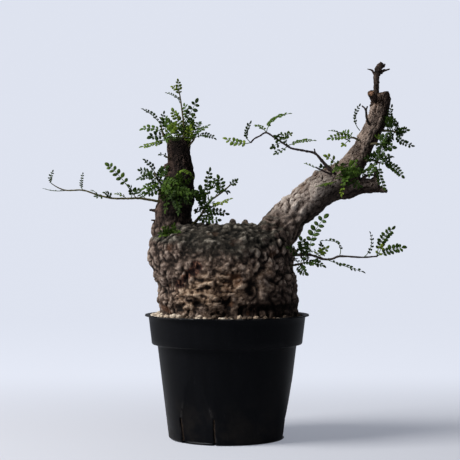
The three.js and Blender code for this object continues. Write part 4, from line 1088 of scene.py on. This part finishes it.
def pot_radius(angle, height):
    """Outside of the pot's body: a cone, less a flat panel and its small step between the edges of each panel."""
    cone = np.interp(height, BODY_HEIGHTS, BODY_RADII)
    turn = np.abs(panel_turn(angle))
    half = np.interp(height, PANEL_HEIGHTS, PANEL_HALF_ANGLES)
    inside = np.clip((half - turn) / PANEL_EDGE, 0, 1)
    flat = cone * (1 - np.cos(np.radians(half)) / np.cos(np.radians(np.minimum(turn, half))))
    step = PANEL_STEP * (1 - height / PANEL_STEP_END)
    return cone - np.where(height < PANEL_HEIGHTS[-1], (flat + step) * inside, 0)


def pot_skin(profile, columns):
    """A grid over the pot's outside: at each profile row (radius, height) and angle, the radius is the row's own, or
    the panelled body's where the row says None."""
    angle = 2 * np.pi * np.arange(columns) / columns
    rows = [np.full(columns, radius) if radius is not None else pot_radius(angle, height) for radius, height in profile]
    radius = np.array(rows)
    height = np.array([row[1] for row in profile], float)[:, None] + 0 * radius
    return np.stack([radius * np.cos(angle), radius * np.sin(angle), height], axis=-1)


def pot_wear_and_sheen(points):
    """Paler places on the pot: 1 along the panels' edges, fading out upwards, as wear and a painted highlight on
    their steps, and 1 on the lip's outer edge, a painted highlight.
    """
    turn = np.abs(panel_turn(np.arctan2(points[:, 1], points[:, 0])))
    off = np.abs(turn - np.interp(points[:, 2], PANEL_HEIGHTS, PANEL_HALF_ANGLES))
    radius = np.hypot(points[:, 0], points[:, 1])
    edge = np.clip(1 - off / PANEL_EDGE, 0, 1) * steps(*PANEL_WEAR_AND_SHEEN, points[:, 2]) * (radius > UNDERSIDE_RADIUS)
    return np.maximum(edge, radius > LIP_SHEEN_RADIUS)


def make_pot(plastic):
    """The skin of the pot's outside as a grid, with the quads at the slits left out, thickened inwards."""
    body = [(None, z) for z in (1.6, *np.arange(3, 23, 2.5), SLIT_TOP, *np.arange(26, 84, 2.4), 85.2)]
    profile = [*POT_FOOT, *body, *POT_COLLAR]
    points = np.concatenate([pot_skin(profile, POT_COLUMNS).reshape(-1, 3), [[0, 0, 0]]])
    quads, fans = loft_faces(len(profile), POT_COLUMNS)
    floor = fans[:POT_COLUMNS]
    x, y, z = points[quads].mean(axis=1).T
    turn = np.abs(panel_turn(np.arctan2(y, x)))
    slit = (np.abs(turn - SLIT_ANGLE) < SLIT_HALF_WIDTH) & (np.hypot(x, y) > UNDERSIDE_RADIUS) & (z < SLIT_TOP)
    quads = quads[~slit]
    # Points that only the slits' quads used are dropped.
    kept = np.unique(np.concatenate([quads.ravel(), floor.ravel()]))
    place = np.searchsorted(kept, np.arange(len(points)))
    shell = Shell()
    shell.add(points[kept], [place[quads], place[floor]], tone=pot_wear_and_sheen(points[kept]))
    mesh = applied(shell.mesh("pot"), [
        ("SOLIDIFY", {"thickness": POT_WALL * MM, "offset": -1.0, "use_even_offset": True}),
    ])
    place_piece("nursery_pot", mesh, ["pot"], [plastic])


def soil_height(edge, share):
    """The bed at (x, y): a little higher on the left than on the right, and heaped up towards the caudex."""
    return SOIL_TOP - SOIL_FALL * edge[..., 0] / SOIL_REACH + SOIL_HEAP * (1 - share)


def caudex_outline(angle, height, gap):
    """The caudex's outline in x and y at a height, a gap further out."""
    width, depth, shift = caudex_section(height)
    return np.stack([shift + (width + gap) * rounded(np.cos(angle)), (depth + gap) * rounded(np.sin(angle))], axis=-1)


def soil_edge(angle, share):
    """From the caudex's outline at the surface (share 0) to the pot's inner wall (share 1)."""
    inner = caudex_outline(angle, SOIL_TOP, SOIL_GAP)
    outer = (COLLAR_RADIUS - POT_WALL - SOIL_GAP) * np.stack([np.cos(angle), np.sin(angle)], axis=-1)
    share = np.asarray(share, float)[..., None]
    return inner + share * (outer - inner)


def make_soil(earth):
    """A closed bed: up the pot's inner wall, over a lumpy top from the wall to the caudex, and down into the pit."""
    angle = 2 * np.pi * np.arange(SOIL_COLUMNS) / SOIL_COLUMNS
    wall = [(None, z) for z in (FLOOR_GAP, *np.arange(5, 85, 4), 87)]
    skin = pot_skin([(0.5, FLOOR_GAP), (40, FLOOR_GAP), *wall, (67.2, 87.6), (68.4, 98)], SOIL_COLUMNS)
    outward = unit(skin * np.array([1, 1, 0]))
    skin = skin - SKIN_GAP * outward * (np.hypot(skin[..., 0], skin[..., 1]) > 45)[..., None]
    top = []
    for share in np.linspace(1, 0.02, 16):
        edge = soil_edge(angle, np.full(SOIL_COLUMNS, share))
        point = np.column_stack([edge, soil_height(edge, share)])
        point[:, 2] += 0.9 * clouds(point / 3.2, 51) + 0.6 * clouds(point / 1.3, 52)
        top.append(point)
    pit = [np.column_stack([caudex_outline(angle, height, PIT_GAP), np.full(SOIL_COLUMNS, height)])
           for height in (106, 98, 90, 83.5)]
    shell = Shell()
    shell.add_rings(np.concatenate([skin, np.array(top), np.array(pit)])[None])
    place_piece("earth_bed", shell.mesh("earth"), ["soil"], [earth])


def make_grains(pumice):
    """Pumice grains strewn between caudex and rim, small enough to clear the wall: each place is kept if it is
    clear of those before it, and each grain is a globe pressed flat a little and dented by clouds."""
    rng = np.random.default_rng(23)
    angle = rng.uniform(0, 2 * np.pi, GRAIN_TRIES)
    share = rng.uniform(0.06, 0.93, GRAIN_TRIES) ** 0.9
    edge = soil_edge(angle, share)
    room = (GRAIN_REACH - np.hypot(*edge.T)) / GRAIN_STRETCH[1][0]
    size = np.minimum(rng.uniform(*GRAIN_SIZES, GRAIN_TRIES), room)
    kept = []
    for i in range(GRAIN_TRIES):
        # Grains lie closer on the left, and patches on the right are bare.
        closeness = 0.8 if edge[i, 0] < -35 else 0.95
        bare = rng.random() < np.interp(edge[i, 0], [-20, 10, 48, 52], [0, 0.3, 0.3, 0.75])
        clear = all(np.hypot(*(edge[i] - edge[j])) > closeness * (size[i] + size[j]) for j in kept)
        if clear and not bare and size[i] > GRAIN_LEAST:
            kept.append(i)
    edge, size, share = edge[kept], size[kept], share[kept]
    lift = rng.uniform(-0.25, 0.6, len(kept)) * size
    centres = np.column_stack([edge, soil_height(edge, share) + lift])
    rings = globes(np.zeros((len(kept), 3)), size, 6, 8)
    rings *= rng.uniform(*GRAIN_STRETCH, (len(kept), 3))[:, None, None, :]
    spin = rng.uniform(0, 2 * np.pi, len(kept))
    turn = np.array([[np.cos(spin), -np.sin(spin)], [np.sin(spin), np.cos(spin)]]).transpose(2, 0, 1)
    rings[..., :2] = np.einsum("nij,nrsj->nrsi", turn, rings[..., :2])
    flat = (rings + centres[:, None, None, :]).reshape(-1, 3)
    dent = 1 + 0.2 * clouds(flat / 1.7, 57).reshape(rings.shape[:3])[..., None]
    # Fresh grains are pale, and the rest are stained by the soil.
    fresh = (edge[:, 0] < -46) | (rng.random(len(kept)) < 0.3)
    tone = np.where(fresh, rng.uniform(0.3, 1, len(kept)), rng.uniform(0, 0.22, len(kept)))
    shell = Shell()
    shell.add_rings(rings * dent + centres[:, None, None, :], tone=tone)
    place_piece("pumice_grains", shell.mesh("grains"), ["soil"], [pumice])


# Leafy shoots

def leaflet_form():
    """One leaflet of unit length and width: rings of 6 round a flat lens. Half width sin(pi t)^0.55 / 2 at t along
    it, thickness about a seventh of the width, the blade curled down by 0.16 t^2 and its sides raised by 0.35 of
    their distance from the middle line squared. Returns its points and their places in the pattern of veins."""
    t = np.array([0.03, 0.17, 0.45, 0.76, 0.95])[:, None]
    angle = 2 * np.pi * np.arange(6) / 6
    half = 0.5 * np.sin(np.pi * t) ** 0.55
    aside = half * np.cos(angle)
    lift = 0.14 * half * np.sin(angle) - 0.16 * t**2 + 0.35 * aside**2
    rings = np.stack([t + 0 * aside, aside, lift], axis=-1)
    ends = np.array([[0.0, 0, 0], [1.0, 0, -0.16]])
    places = np.concatenate([np.stack([rings[..., 0], rings[..., 1] + 0.5], -1).reshape(-1, 2), [[0, 0.5], [1, 0.5]]])
    return np.concatenate([rings.reshape(-1, 3), ends]), places


FORM, FORM_PLACES = leaflet_form()
FORM_QUADS, FORM_FANS = loft_faces(5, 6)


def add_leaflets(shell, bases, ways, ups, lengths, widths, tones):
    """Adds a leaflet for each row: base + length * (along * way + lift * up) + width * aside * side."""
    ups = unit(ups - (ups * ways).sum(1, keepdims=True) * ways)
    sides = np.cross(ups, ways)
    points = bases[:, None] + lengths[:, None, None] * FORM[:, :1] * ways[:, None]
    points = points + widths[:, None, None] * FORM[:, 1:2] * sides[:, None]
    points = points + lengths[:, None, None] * FORM[:, 2:] * ups[:, None]
    step = len(FORM) * np.arange(len(bases))[:, None, None]
    faces = [(FORM_QUADS + step).reshape(-1, 4), (FORM_FANS + step).reshape(-1, 3)]
    places = np.tile(FORM_PLACES, (len(bases), 1))
    shell.add(points.reshape(-1, 3), faces, LEAF, np.repeat(tones, len(FORM)), places)


def leaf_line(root, middle, tip, share):
    """A quadratic curve through a leaf's root, middle and tip, and its direction, at shares of the way along:
    (1 - t)^2 root + 2 t (1 - t) bend + t^2 tip, where bend = 2 middle - (root + tip) / 2."""
    bend = 2 * middle - (root + tip) / 2
    t = np.asarray(share)[:, None]
    line = (1 - t) ** 2 * root + 2 * t * (1 - t) * bend + t**2 * tip
    return line, unit(2 * (1 - t) * (bend - root) + 2 * t * (tip - bend))


def turned(vectors, axes, angle):
    """Vectors turned about axes at right angles to them: v cos angle + (axis x v) sin angle."""
    return np.cos(angle) * vectors + np.sin(angle) * np.cross(axes, vectors)


def add_leaf(shell, rng, root, middle, tip, pairs, size, roll, tone):
    """A pinnate leaf: a thin rib with pairs of leaflets that lean towards the tip and lift out of the leaf's plane,
    larger in the middle, and one leaflet at the end. Returns the rib's rings."""
    root, middle, tip = (np.asarray(point, float) for point in (root, middle, tip))
    length = np.linalg.norm(middle - root) + np.linalg.norm(tip - middle)
    end = 1 - 0.8 * size / length
    share = np.linspace(0.24, end - 0.06, pairs)
    at, forward = leaf_line(root, middle, tip, np.append(share, end))
    left = turned(unit(np.cross(unit(VIEWER), forward)), forward, np.radians(roll))
    up = np.cross(forward, left)
    bases, ways, ups, sizes = [at[-1:]], [forward[-1:]], [up[-1:]], [np.array([size])]
    for side in (1, -1):
        lean = LEAFLET_LEAN + rng.uniform(-0.2, 0.2, (pairs, 1))
        lift = LEAFLET_LIFT + rng.uniform(-0.25, 0.25, (pairs, 1))
        way = side * np.cos(lean) * left[:-1] + np.sin(lean) * forward[:-1] + np.sin(lift) * up[:-1]
        bases.append(at[:-1] + 0.3 * side * left[:-1])
        ways.append(unit(way))
        ups.append(up[:-1] - side * np.sin(lift) * left[:-1] + rng.uniform(-0.3, 0.3, (pairs, 3)))
        swell = 0.72 + 0.3 * np.sin(np.pi * np.linspace(0.12, 0.9, pairs))
        sizes.append(size * swell * rng.uniform(0.88, 1.1, pairs))
    sizes = np.concatenate(sizes)
    shades = np.clip(tone + rng.normal(0, 0.07) + rng.normal(0, 0.06, len(sizes)), 0, 1)
    widths = sizes * rng.uniform(0.62, 0.76, len(sizes))
    add_leaflets(shell, *(np.concatenate(group) for group in (bases, ways, ups)), sizes, widths, shades)
    rib, _ = leaf_line(root, middle, tip, np.linspace(0, end, 8))
    return tubes(rib[None], np.linspace(0.42, 0.22, 8)[None], 5)


def tuft_leaves(rng, centre, reach, count, length, tone):
    """Leaves placed by rule round a middle: roots spread evenly in a box, each leaf set off in a random direction
    that leans up and outwards and droops towards its tip."""
    centre, reach = np.array(centre, float), np.array(reach, float)
    for _ in range(count):
        spread = rng.uniform(-1, 1, 3)
        root = centre + 0.6 * spread * reach
        way = unit(spread + rng.normal(0, 0.6, 3) + np.array([0, 0, 0.35]))
        span = length * rng.uniform(0.7, 1.15)
        middle = root + 0.52 * span * way + np.array([0, 0, 0.06 * span])
        tip = root + span * way + np.array([0, 0, -0.1 * span])
        size = rng.uniform(3.0, 4.4)
        pairs = max(2, round(span / 4.4))
        yield root, middle, tip, pairs, size, rng.uniform(-60, 60), tone + rng.normal(0, 0.12)


def make_spray(name, spray, rng, leaf, twig):
    """A shoot: its leaves, those of its tufts, and its twigs, which swell at their knots."""
    shell = Shell()
    ribs = []
    leaves = list(spray["leaves"])
    for tuft in spray.get("tufts", []):
        leaves.extend(tuft_leaves(rng, *tuft))
    for root, middle, tip, pairs, size, roll, tone in leaves:
        line = sighted([root, middle, tip])
        ribs.append(add_leaf(shell, rng, *line, pairs, size, roll, tone))
    shell.add_rings(np.concatenate(ribs), LEAF, 0.55)
    for number, rows in enumerate(spray["twigs"]):
        path, radii = limb_path(rows, 6 * len(rows))
        knots = 1 + 0.22 * np.sin(np.arange(len(radii)) * 1.9) ** 4
        rings = tubes(path[None], (0.72 * radii * knots)[None], 8)
        young = spray.get("young", np.clip(1.55 - 0.95 * radii.min(), 0, 1))
        shell.add_rings(roughened(rings, 1.2, 0.22, 200 + number), TWIG, young)
    place_piece(name + "_leaves", shell.mesh(name), [name], [leaf, twig])


# Finishes

def bark_finish():
    """Grey-brown bark, dark in its hollows and pale on its crests, painted shade and light over its own darker
    fissures:
    beige slabs low in front, a grey-green bloom on top, nearly black low on the right, grey-beige on the limb with
    painted shade on its right and lower sides, dark brown on the stem with painted light on its left side, with torn
    red-brown bark, sawn ends and moss."""
    b = Board("bark", {"Specular IOR Level": 0.2})
    place = b.place()
    broad = b.noise(place, 60, 3)
    middling = b.noise(place, 230, 4, 0.6)
    fine = b.noise(place, 900, 4, 0.65)
    grain = b.noise(place, 2400, 2, 0.6)
    limb, upper = b.painted("limb"), b.painted("upper")
    # The ramps below run from near black in the hollows to pale on the crests: painted shade and light over the bark's
    # own darker fissures
    height = b.painted("crest") + 0.65 * (middling - 0.5) + 0.55 * (fine - 0.5)
    colour = b.ramp(height, (0.12, (0.007, 0.0045, 0.0035)), (0.40, (0.046, 0.032, 0.025)),
                    (0.62, (0.135, 0.095, 0.077)), (1.0, (0.40, 0.32, 0.27)))
    beige = b.ramp(height, (0.12, (0.010, 0.005, 0.003)), (0.38, (0.072, 0.042, 0.026)),
                   (0.62, (0.27, 0.176, 0.113)), (1.0, (0.68, 0.51, 0.37)))
    colour = b.mix(b.painted("warm") * b.ease(broad, 0.32, 0.52), colour, beige)
    mossy_grey = b.ramp(height, (0.14, (0.003, 0.0035, 0.0025)), (0.5, (0.024, 0.022, 0.017)),
                        (0.8, (0.085, 0.080, 0.066)), (1.0, (0.25, 0.235, 0.20)))
    grown = b.painted("bloom") + 1.3 * (broad - 0.5) + 0.9 * (middling - 0.5)
    colour = b.mix(0.9 * b.ease(grown, 0.15, 1.0), colour, mossy_grey)
    # Darker, nearly black, low on the right in front and in patches low behind
    darker_low_colour = b.ramp(height, (0.1, (0.004, 0.0025, 0.002)), (0.55, (0.020, 0.011, 0.008)), (1.0, (0.085, 0.055, 0.040)))
    colour = b.mix(0.9 * b.painted("damp"), colour, darker_low_colour)
    rusty = b.ease(b.noise(b.place((0.7, 0.7, 1)), 95, 3), 0.6, 0.72)
    colour = b.mix(0.42 * rusty * (1 - 0.6 * b.painted("bloom")), colour, (0.19, 0.085, 0.042))

    pale = b.ramp(height, (0.1, (0.016, 0.010, 0.008)), (0.32, (0.16, 0.122, 0.104)),
                  (0.52, (0.42, 0.355, 0.315)), (1.0, (0.72, 0.64, 0.58)))
    tan = b.ramp(height, (0.08, (0.014, 0.008, 0.006)), (0.32, (0.11, 0.075, 0.058)),
                 (0.54, (0.28, 0.205, 0.165)), (1.0, (0.55, 0.45, 0.38)))
    pale = b.mix(0.75 * upper, pale, tan)
    pale = b.mix(0.5 * b.ease(broad, 0.54, 0.66), pale, (0.19, 0.11, 0.068))
    # Painted shade: the pale bark turns dark brown where shade is painted; on the bare twigs this is their own dark
    # brown bark
    under = b.ramp(height, (0.2, (0.006, 0.004, 0.003)), (0.6, (0.032, 0.019, 0.014)), (1.0, (0.10, 0.062, 0.046)))
    pale = b.mix(0.92 * b.painted("shade"), pale, under)
    colour = b.mix(limb, colour, pale)

    dark = b.ramp(height, (0.15, (0.004, 0.0025, 0.002)), (0.55, (0.018, 0.011, 0.009)),
                  (1.0, (0.085, 0.055, 0.044)))
    # Painted light: the stem's dark bark is paler where it faces left, towards the window light
    dark = b.mix(0.8 * b.painted("sunny") * b.ease(middling, 0.35, 0.6), dark, (0.22, 0.145, 0.118))
    colour = b.mix(b.painted("stem"), colour, dark)

    torn = b.ease(b.painted("wound") + 1.1 * (middling - 0.5), 0.35, 0.75)
    scab = b.ramp(fine + 0.5 * (height - 0.5), (0.36, (0.014, 0.006, 0.006)), (0.56, (0.075, 0.024, 0.016)),
                  (0.72, (0.22, 0.085, 0.042)))
    colour = b.mix(0.8 * torn, colour, scab)
    speckle = b.ramp(fine, (0.3, (0.55, 0.53, 0.51)), (0.7, (1.2, 1.2, 1.2)))
    colour = b.mix(0.85, colour, speckle, "MULTIPLY")
    sawn = b.painted("cut")
    rings = b.node("TexWave", {"wave_type": "RINGS"}, {"Vector": place, "Scale": 260.0, "Distortion": 4.0})
    end = b.ramp(rings, (0.0, (0.05, 0.028, 0.016)), (1.0, (0.13, 0.075, 0.045)))
    colour = b.mix(b.ease(sawn, 0.3, 0.7), colour, end)
    colour = b.mix(b.ease(sawn, 1.5, 1.8), colour, (0.33, 0.175, 0.11))
    mossy = b.ease(b.painted("moss") + 0.6 * (fine - 0.5), 0.45, 0.8)
    green = b.ramp(grain, (0.3, (0.014, 0.020, 0.006)), (0.7, (0.055, 0.075, 0.018)))
    colour = b.mix(mossy, colour, green)
    relief = middling + 0.6 * fine + 0.35 * b.cells(place, 620, "SMOOTH_F1")
    normal = b.bump(relief, 0.0026, 0.9)
    normal = b.bump(grain, 0.0004, 0.6, normal)
    return b.finish(colour, 0.8 + 0.14 * fine, normal)


def leaf_finish():
    """Leaflets from dark green to yellow-green by tone, with a paler middle vein and faint side veins, half glossy."""
    b = Board("leaf", {"Specular IOR Level": 0.12})
    place = b.place()
    tone = b.painted("tone")
    spot = b.noise(place, 420, 3)
    blade = b.ramp(tone + 0.22 * (spot - 0.5), (0.0, (0.004, 0.011, 0.002)), (0.35, (0.015, 0.037, 0.004)),
                   (0.65, (0.060, 0.118, 0.010)), (1.0, (0.21, 0.27, 0.027)))
    uv = b.node("UVMap", {"uv_map": "place"})
    along = b.node("SeparateXYZ", {}, {"Vector": uv}, out=0)
    across = b.node("SeparateXYZ", {}, {"Vector": uv}, out=1)
    aside = b.math("ABSOLUTE", across - 0.5)
    vein = (1 - b.ease(aside, 0.0, 0.07)) * b.ease(across, 0.01, 0.02)
    ribs = b.math("SINE", 46.0 * (along - 0.9 * aside))
    side_veins = b.ease(ribs, 0.7, 1.0) * b.ease(across, 0.01, 0.02)
    colour = b.mix(0.4 * vein + 0.12 * side_veins, blade, (0.17, 0.25, 0.06))
    rough = 0.44 + 0.2 * spot
    return b.finish(colour, rough, b.bump(vein + 0.4 * side_veins + 0.5 * spot, 0.00025, 0.5))


def twig_finish():
    """Twig bark: near black and purple-brown, reddish to green-brown where young, with pale specks."""
    b = Board("twig_bark", {"Specular IOR Level": 0.3})
    place = b.place()
    young = b.painted("tone")
    grain = b.noise(place, 700, 4, 0.6)
    old = b.ramp(grain, (0.3, (0.014, 0.008, 0.009)), (0.7, (0.058, 0.038, 0.038)))
    fresh = b.ramp(grain, (0.3, (0.045, 0.042, 0.014)), (0.7, (0.115, 0.10, 0.035)))
    colour = b.mix(b.ease(young, 0.1, 0.9), old, fresh)
    speck = b.ease(b.cells(place, 800), 0.28, 0.18)
    colour = b.mix(0.25 * speck, colour, (0.2, 0.16, 0.13))
    return b.finish(colour, 0.6 + 0.25 * grain, b.bump(grain, 0.0005, 0.6))


def plastic_finish():
    """Moulded black plastic: faint flow streaks, scuffs, panel edges paler as wear and as a painted highlight, a
    painted highlight on the lip's outer edge, and dust towards the foot.
    """
    b = Board("black_plastic", {"Specular IOR Level": 0.075, "Specular Tint": (0.84, 0.9, 1.0, 1.0)})
    place = b.place()
    streak = b.noise(b.place((90, 90, 14)), 1.0, 4, 0.6)
    mottle = b.noise(place, 46, 4, 0.6)
    level = b.node("SeparateXYZ", {}, {"Vector": place}, out=2)
    dust = (1 - b.ease(level, 0.002, 0.05)) * b.ease(mottle, 0.42, 0.7)
    scratch = b.ease(b.noise(b.place((500, 500, 60)), 1.0, 3, 0.7), 0.62, 0.74)
    colour = b.ramp(streak, (0.3, (0.0022, 0.0023, 0.0030)), (0.7, (0.0038, 0.0040, 0.0052)))
    colour = b.mix(0.22 * dust, colour, (0.05, 0.04, 0.031))
    colour = b.mix(0.1 * scratch, colour, (0.05, 0.05, 0.055))
    # Paler grey along the panels' edges, wear and a painted highlight, and on the lip's outer edge, a painted highlight
    worn_and_sheen = b.painted("tone") * b.ease(b.noise(place, 120, 3), 0.45, 0.6)
    colour = b.mix(0.3 * worn_and_sheen, colour, (0.10, 0.095, 0.095))
    rough = 0.2 + 0.1 * streak + 0.12 * mottle + 0.2 * dust
    return b.finish(colour, rough, b.bump(b.noise(place, 1500, 2) + 0.8 * streak, 0.00012, 0.5))


def earth_finish():
    """Dark brown earth with grit, mossy on the right."""
    b = Board("earth")
    place = b.place()
    grit = b.noise(place, 700, 5, 0.7)
    lump = b.noise(place, 180, 4, 0.6)
    colour = b.ramp(grit, (0.28, (0.010, 0.006, 0.004)), (0.55, (0.05, 0.030, 0.019)), (0.8, (0.17, 0.12, 0.08)))
    along = b.node("SeparateXYZ", {}, {"Vector": place}, out=0)
    mossy = b.ease(along + 0.05 * (lump - 0.5), 0.035, 0.055) * b.ease(lump, 0.4, 0.55)
    colour = b.mix(0.8 * mossy, colour, b.ramp(grit, (0.3, (0.012, 0.016, 0.005)), (0.7, (0.055, 0.07, 0.018))))
    return b.finish(colour, 0.9 + 0.05 * grit, b.bump(grit + lump, 0.0012, 0.9))


def pumice_finish():
    """Cream to tan pumice, pitted, each grain with its own tone and soil stains."""
    b = Board("pumice")
    place = b.place()
    tone = b.painted("tone")
    pits = b.cells(place, 1300, "SMOOTH_F1")
    stain = b.noise(place, 320, 4, 0.6)
    base = b.ramp(tone, (0.0, (0.030, 0.020, 0.013)), (0.2, (0.13, 0.09, 0.06)), (0.36, (0.44, 0.34, 0.25)),
                  (1.0, (0.72, 0.66, 0.56)))
    colour = b.mix(0.7 * b.ease(stain, 0.52, 0.68), base, (0.2, 0.125, 0.07))
    colour = b.mix(0.5 * b.ease(pits, 0.4, 0.15), colour, (0.25, 0.18, 0.12))
    return b.finish(colour, 0.88 + 0.06 * stain, b.bump(pits + 0.6 * stain, 0.0007, 0.8))


# The part

bark = bark_finish()
leaf = leaf_finish()
twig = twig_finish()
make_pot(plastic_finish())
make_soil(earth_finish())
make_grains(pumice_finish())
make_wood(bark)
for number, (name, spray) in enumerate(SPRAYS.items()):
    make_spray(name, spray, np.random.default_rng(FIRST_SEED + number), leaf, twig)


# Floor, backdrop, light and camera, in metres

# The sheet: how far it reaches sideways and forwards, where it bends up behind the pot, the bend's radius, its top
SWEEP_REACH, BEND_START, BEND_RADIUS, SWEEP_TOP = 2.6, 1.6, 0.9, 3.2
SWEEP_COLUMNS = 9
PAPER, FAR_PAPER = (0.42, 0.43, 0.46), (0.1, 0.103, 0.11)
FLOOR_GLOW = (0.24, 0.255, 0.30)
WALL_GLOW = (0.70, 0.735, 0.83)
# Share of the paper's glow that reaches the part as light
SPILL = 0.22
# Lights: place, point that they face, size, watts and colour
LIGHTS = {
    "window": ((-1.1, -0.42, 1.2), (0, 0, 0.2), 0.8, 36, (1.0, 0.98, 0.95)),
    "soft_front": ((0.3, -1.7, 1.3), (0, 0, 0.2), 1.4, 2.0, (0.93, 0.96, 1.0)),
}
# The room's colour, and its strength as a light and where it shows
ROOM_COLOUR, ROOM_LIGHT, ROOM_SEEN = (0.72, 0.76, 0.86, 1), 0.08, 1.0


def make_sweep():
    """Floor and backdrop as one sheet: flat to BEND_START behind the pot, then a quarter circle up to a wall."""
    turn = np.linspace(0, np.pi / 2, 24)
    back = BEND_START + BEND_RADIUS * np.sin(turn)
    rise = BEND_RADIUS * (1 - np.cos(turn))
    profile = np.array([(-SWEEP_REACH, 0), (-0.6, 0), (0.1, 0), *zip(back, rise), (back[-1], SWEEP_TOP)])
    x = np.linspace(-SWEEP_REACH, SWEEP_REACH, SWEEP_COLUMNS)
    grid = np.stack(np.broadcast_arrays(x[None], profile[:, :1], profile[:, 1:]), axis=-1).reshape(-1, 3)
    corner = (SWEEP_COLUMNS * np.arange(len(profile) - 1)[:, None] + np.arange(SWEEP_COLUMNS - 1)).ravel()
    faces = np.stack([corner, corner + 1, corner + SWEEP_COLUMNS + 1, corner + SWEEP_COLUMNS], axis=-1)
    mesh = bpy.data.meshes.new("sweep")
    mesh.from_pydata(grid.tolist(), [], faces.tolist())
    mesh.polygons.foreach_set("use_smooth", np.ones(len(faces), bool))
    mesh.materials.append(paper_finish())
    sweep = bpy.data.objects.new("paper_sweep", mesh)
    bpy.context.scene.collection.objects.link(sweep)


def paper_finish():
    """Pale paper that glows from the floor up to the wall: in full where the camera sees it, faintly as a light."""
    b = Board("pale_paper", {"Specular IOR Level": 0.05, "Emission Strength": 1.0})
    place = b.place()
    back = b.node("SeparateXYZ", {}, {"Vector": place}, out=1)
    far = b.node("VectorMath", {"operation": "LENGTH"}, {0: place}, out=1)
    glow = b.math("MAXIMUM", b.ease(back, 0.0, 0.6), b.ease(far, 1.0, 2.0))
    seen = b.node("LightPath")
    lit = b.mix(glow, FLOOR_GLOW, WALL_GLOW)
    b.feed(b.shader.inputs["Emission Color"], b.mix(seen, b.mix(SPILL, (0, 0, 0), lit), lit))
    tooth = b.noise(place, 900, 2)
    paper = b.mix(glow, b.mix(0.05 * tooth, PAPER, (0.3, 0.3, 0.32)), FAR_PAPER)
    return b.finish(paper, 0.9 + 0.05 * tooth, b.bump(tooth, 0.0001, 0.3))


def add_light(name, place, aim, size, watts, colour):
    """A square area light that faces a point."""
    lamp = bpy.data.lights.new(name, "AREA")
    lamp.shape, lamp.size, lamp.energy, lamp.color = "SQUARE", size, watts, colour
    holder = bpy.data.objects.new(name, lamp)
    bpy.context.scene.collection.objects.link(holder)
    back = unit(np.array(place, float) - np.array(aim, float))
    right = unit(np.cross([0.0, 0.0, 1.0], back))
    columns = np.column_stack([right, np.cross(back, right), back, place])
    holder.matrix_world = Matrix([*columns.tolist(), (0, 0, 0, 1)])


def make_room():
    """The world round it all: pale where it shows, dim as a light."""
    world = bpy.data.worlds.new("room")
    world.use_nodes = True
    room = world.node_tree
    seen = room.nodes.new("ShaderNodeLightPath")
    strength = room.nodes.new("ShaderNodeMapRange")
    strength.inputs["To Min"].default_value = ROOM_LIGHT
    strength.inputs["To Max"].default_value = ROOM_SEEN
    room.links.new(seen.outputs["Is Camera Ray"], strength.inputs["Value"])
    room.links.new(strength.outputs["Result"], room.nodes["Background"].inputs["Strength"])
    room.nodes["Background"].inputs["Color"].default_value = ROOM_COLOUR
    bpy.context.scene.world = world


def set_camera():
    """A level camera in the photograph's place."""
    lens = bpy.data.cameras.new("eye")
    lens.lens, lens.sensor_width = LENS_MM, SENSOR_MM
    eye = bpy.data.objects.new("eye", lens)
    eye.location = (EYE_X * MM, -EYE_DISTANCE * MM, EYE_Z * MM)
    eye.rotation_euler = (np.pi / 2, 0, 0)
    bpy.context.scene.collection.objects.link(eye)
    bpy.context.scene.camera = eye
    bpy.context.scene.view_settings.view_transform = "Standard"


make_sweep()
for name, light in LIGHTS.items():
    add_light(name, *light)
make_room()
set_camera()
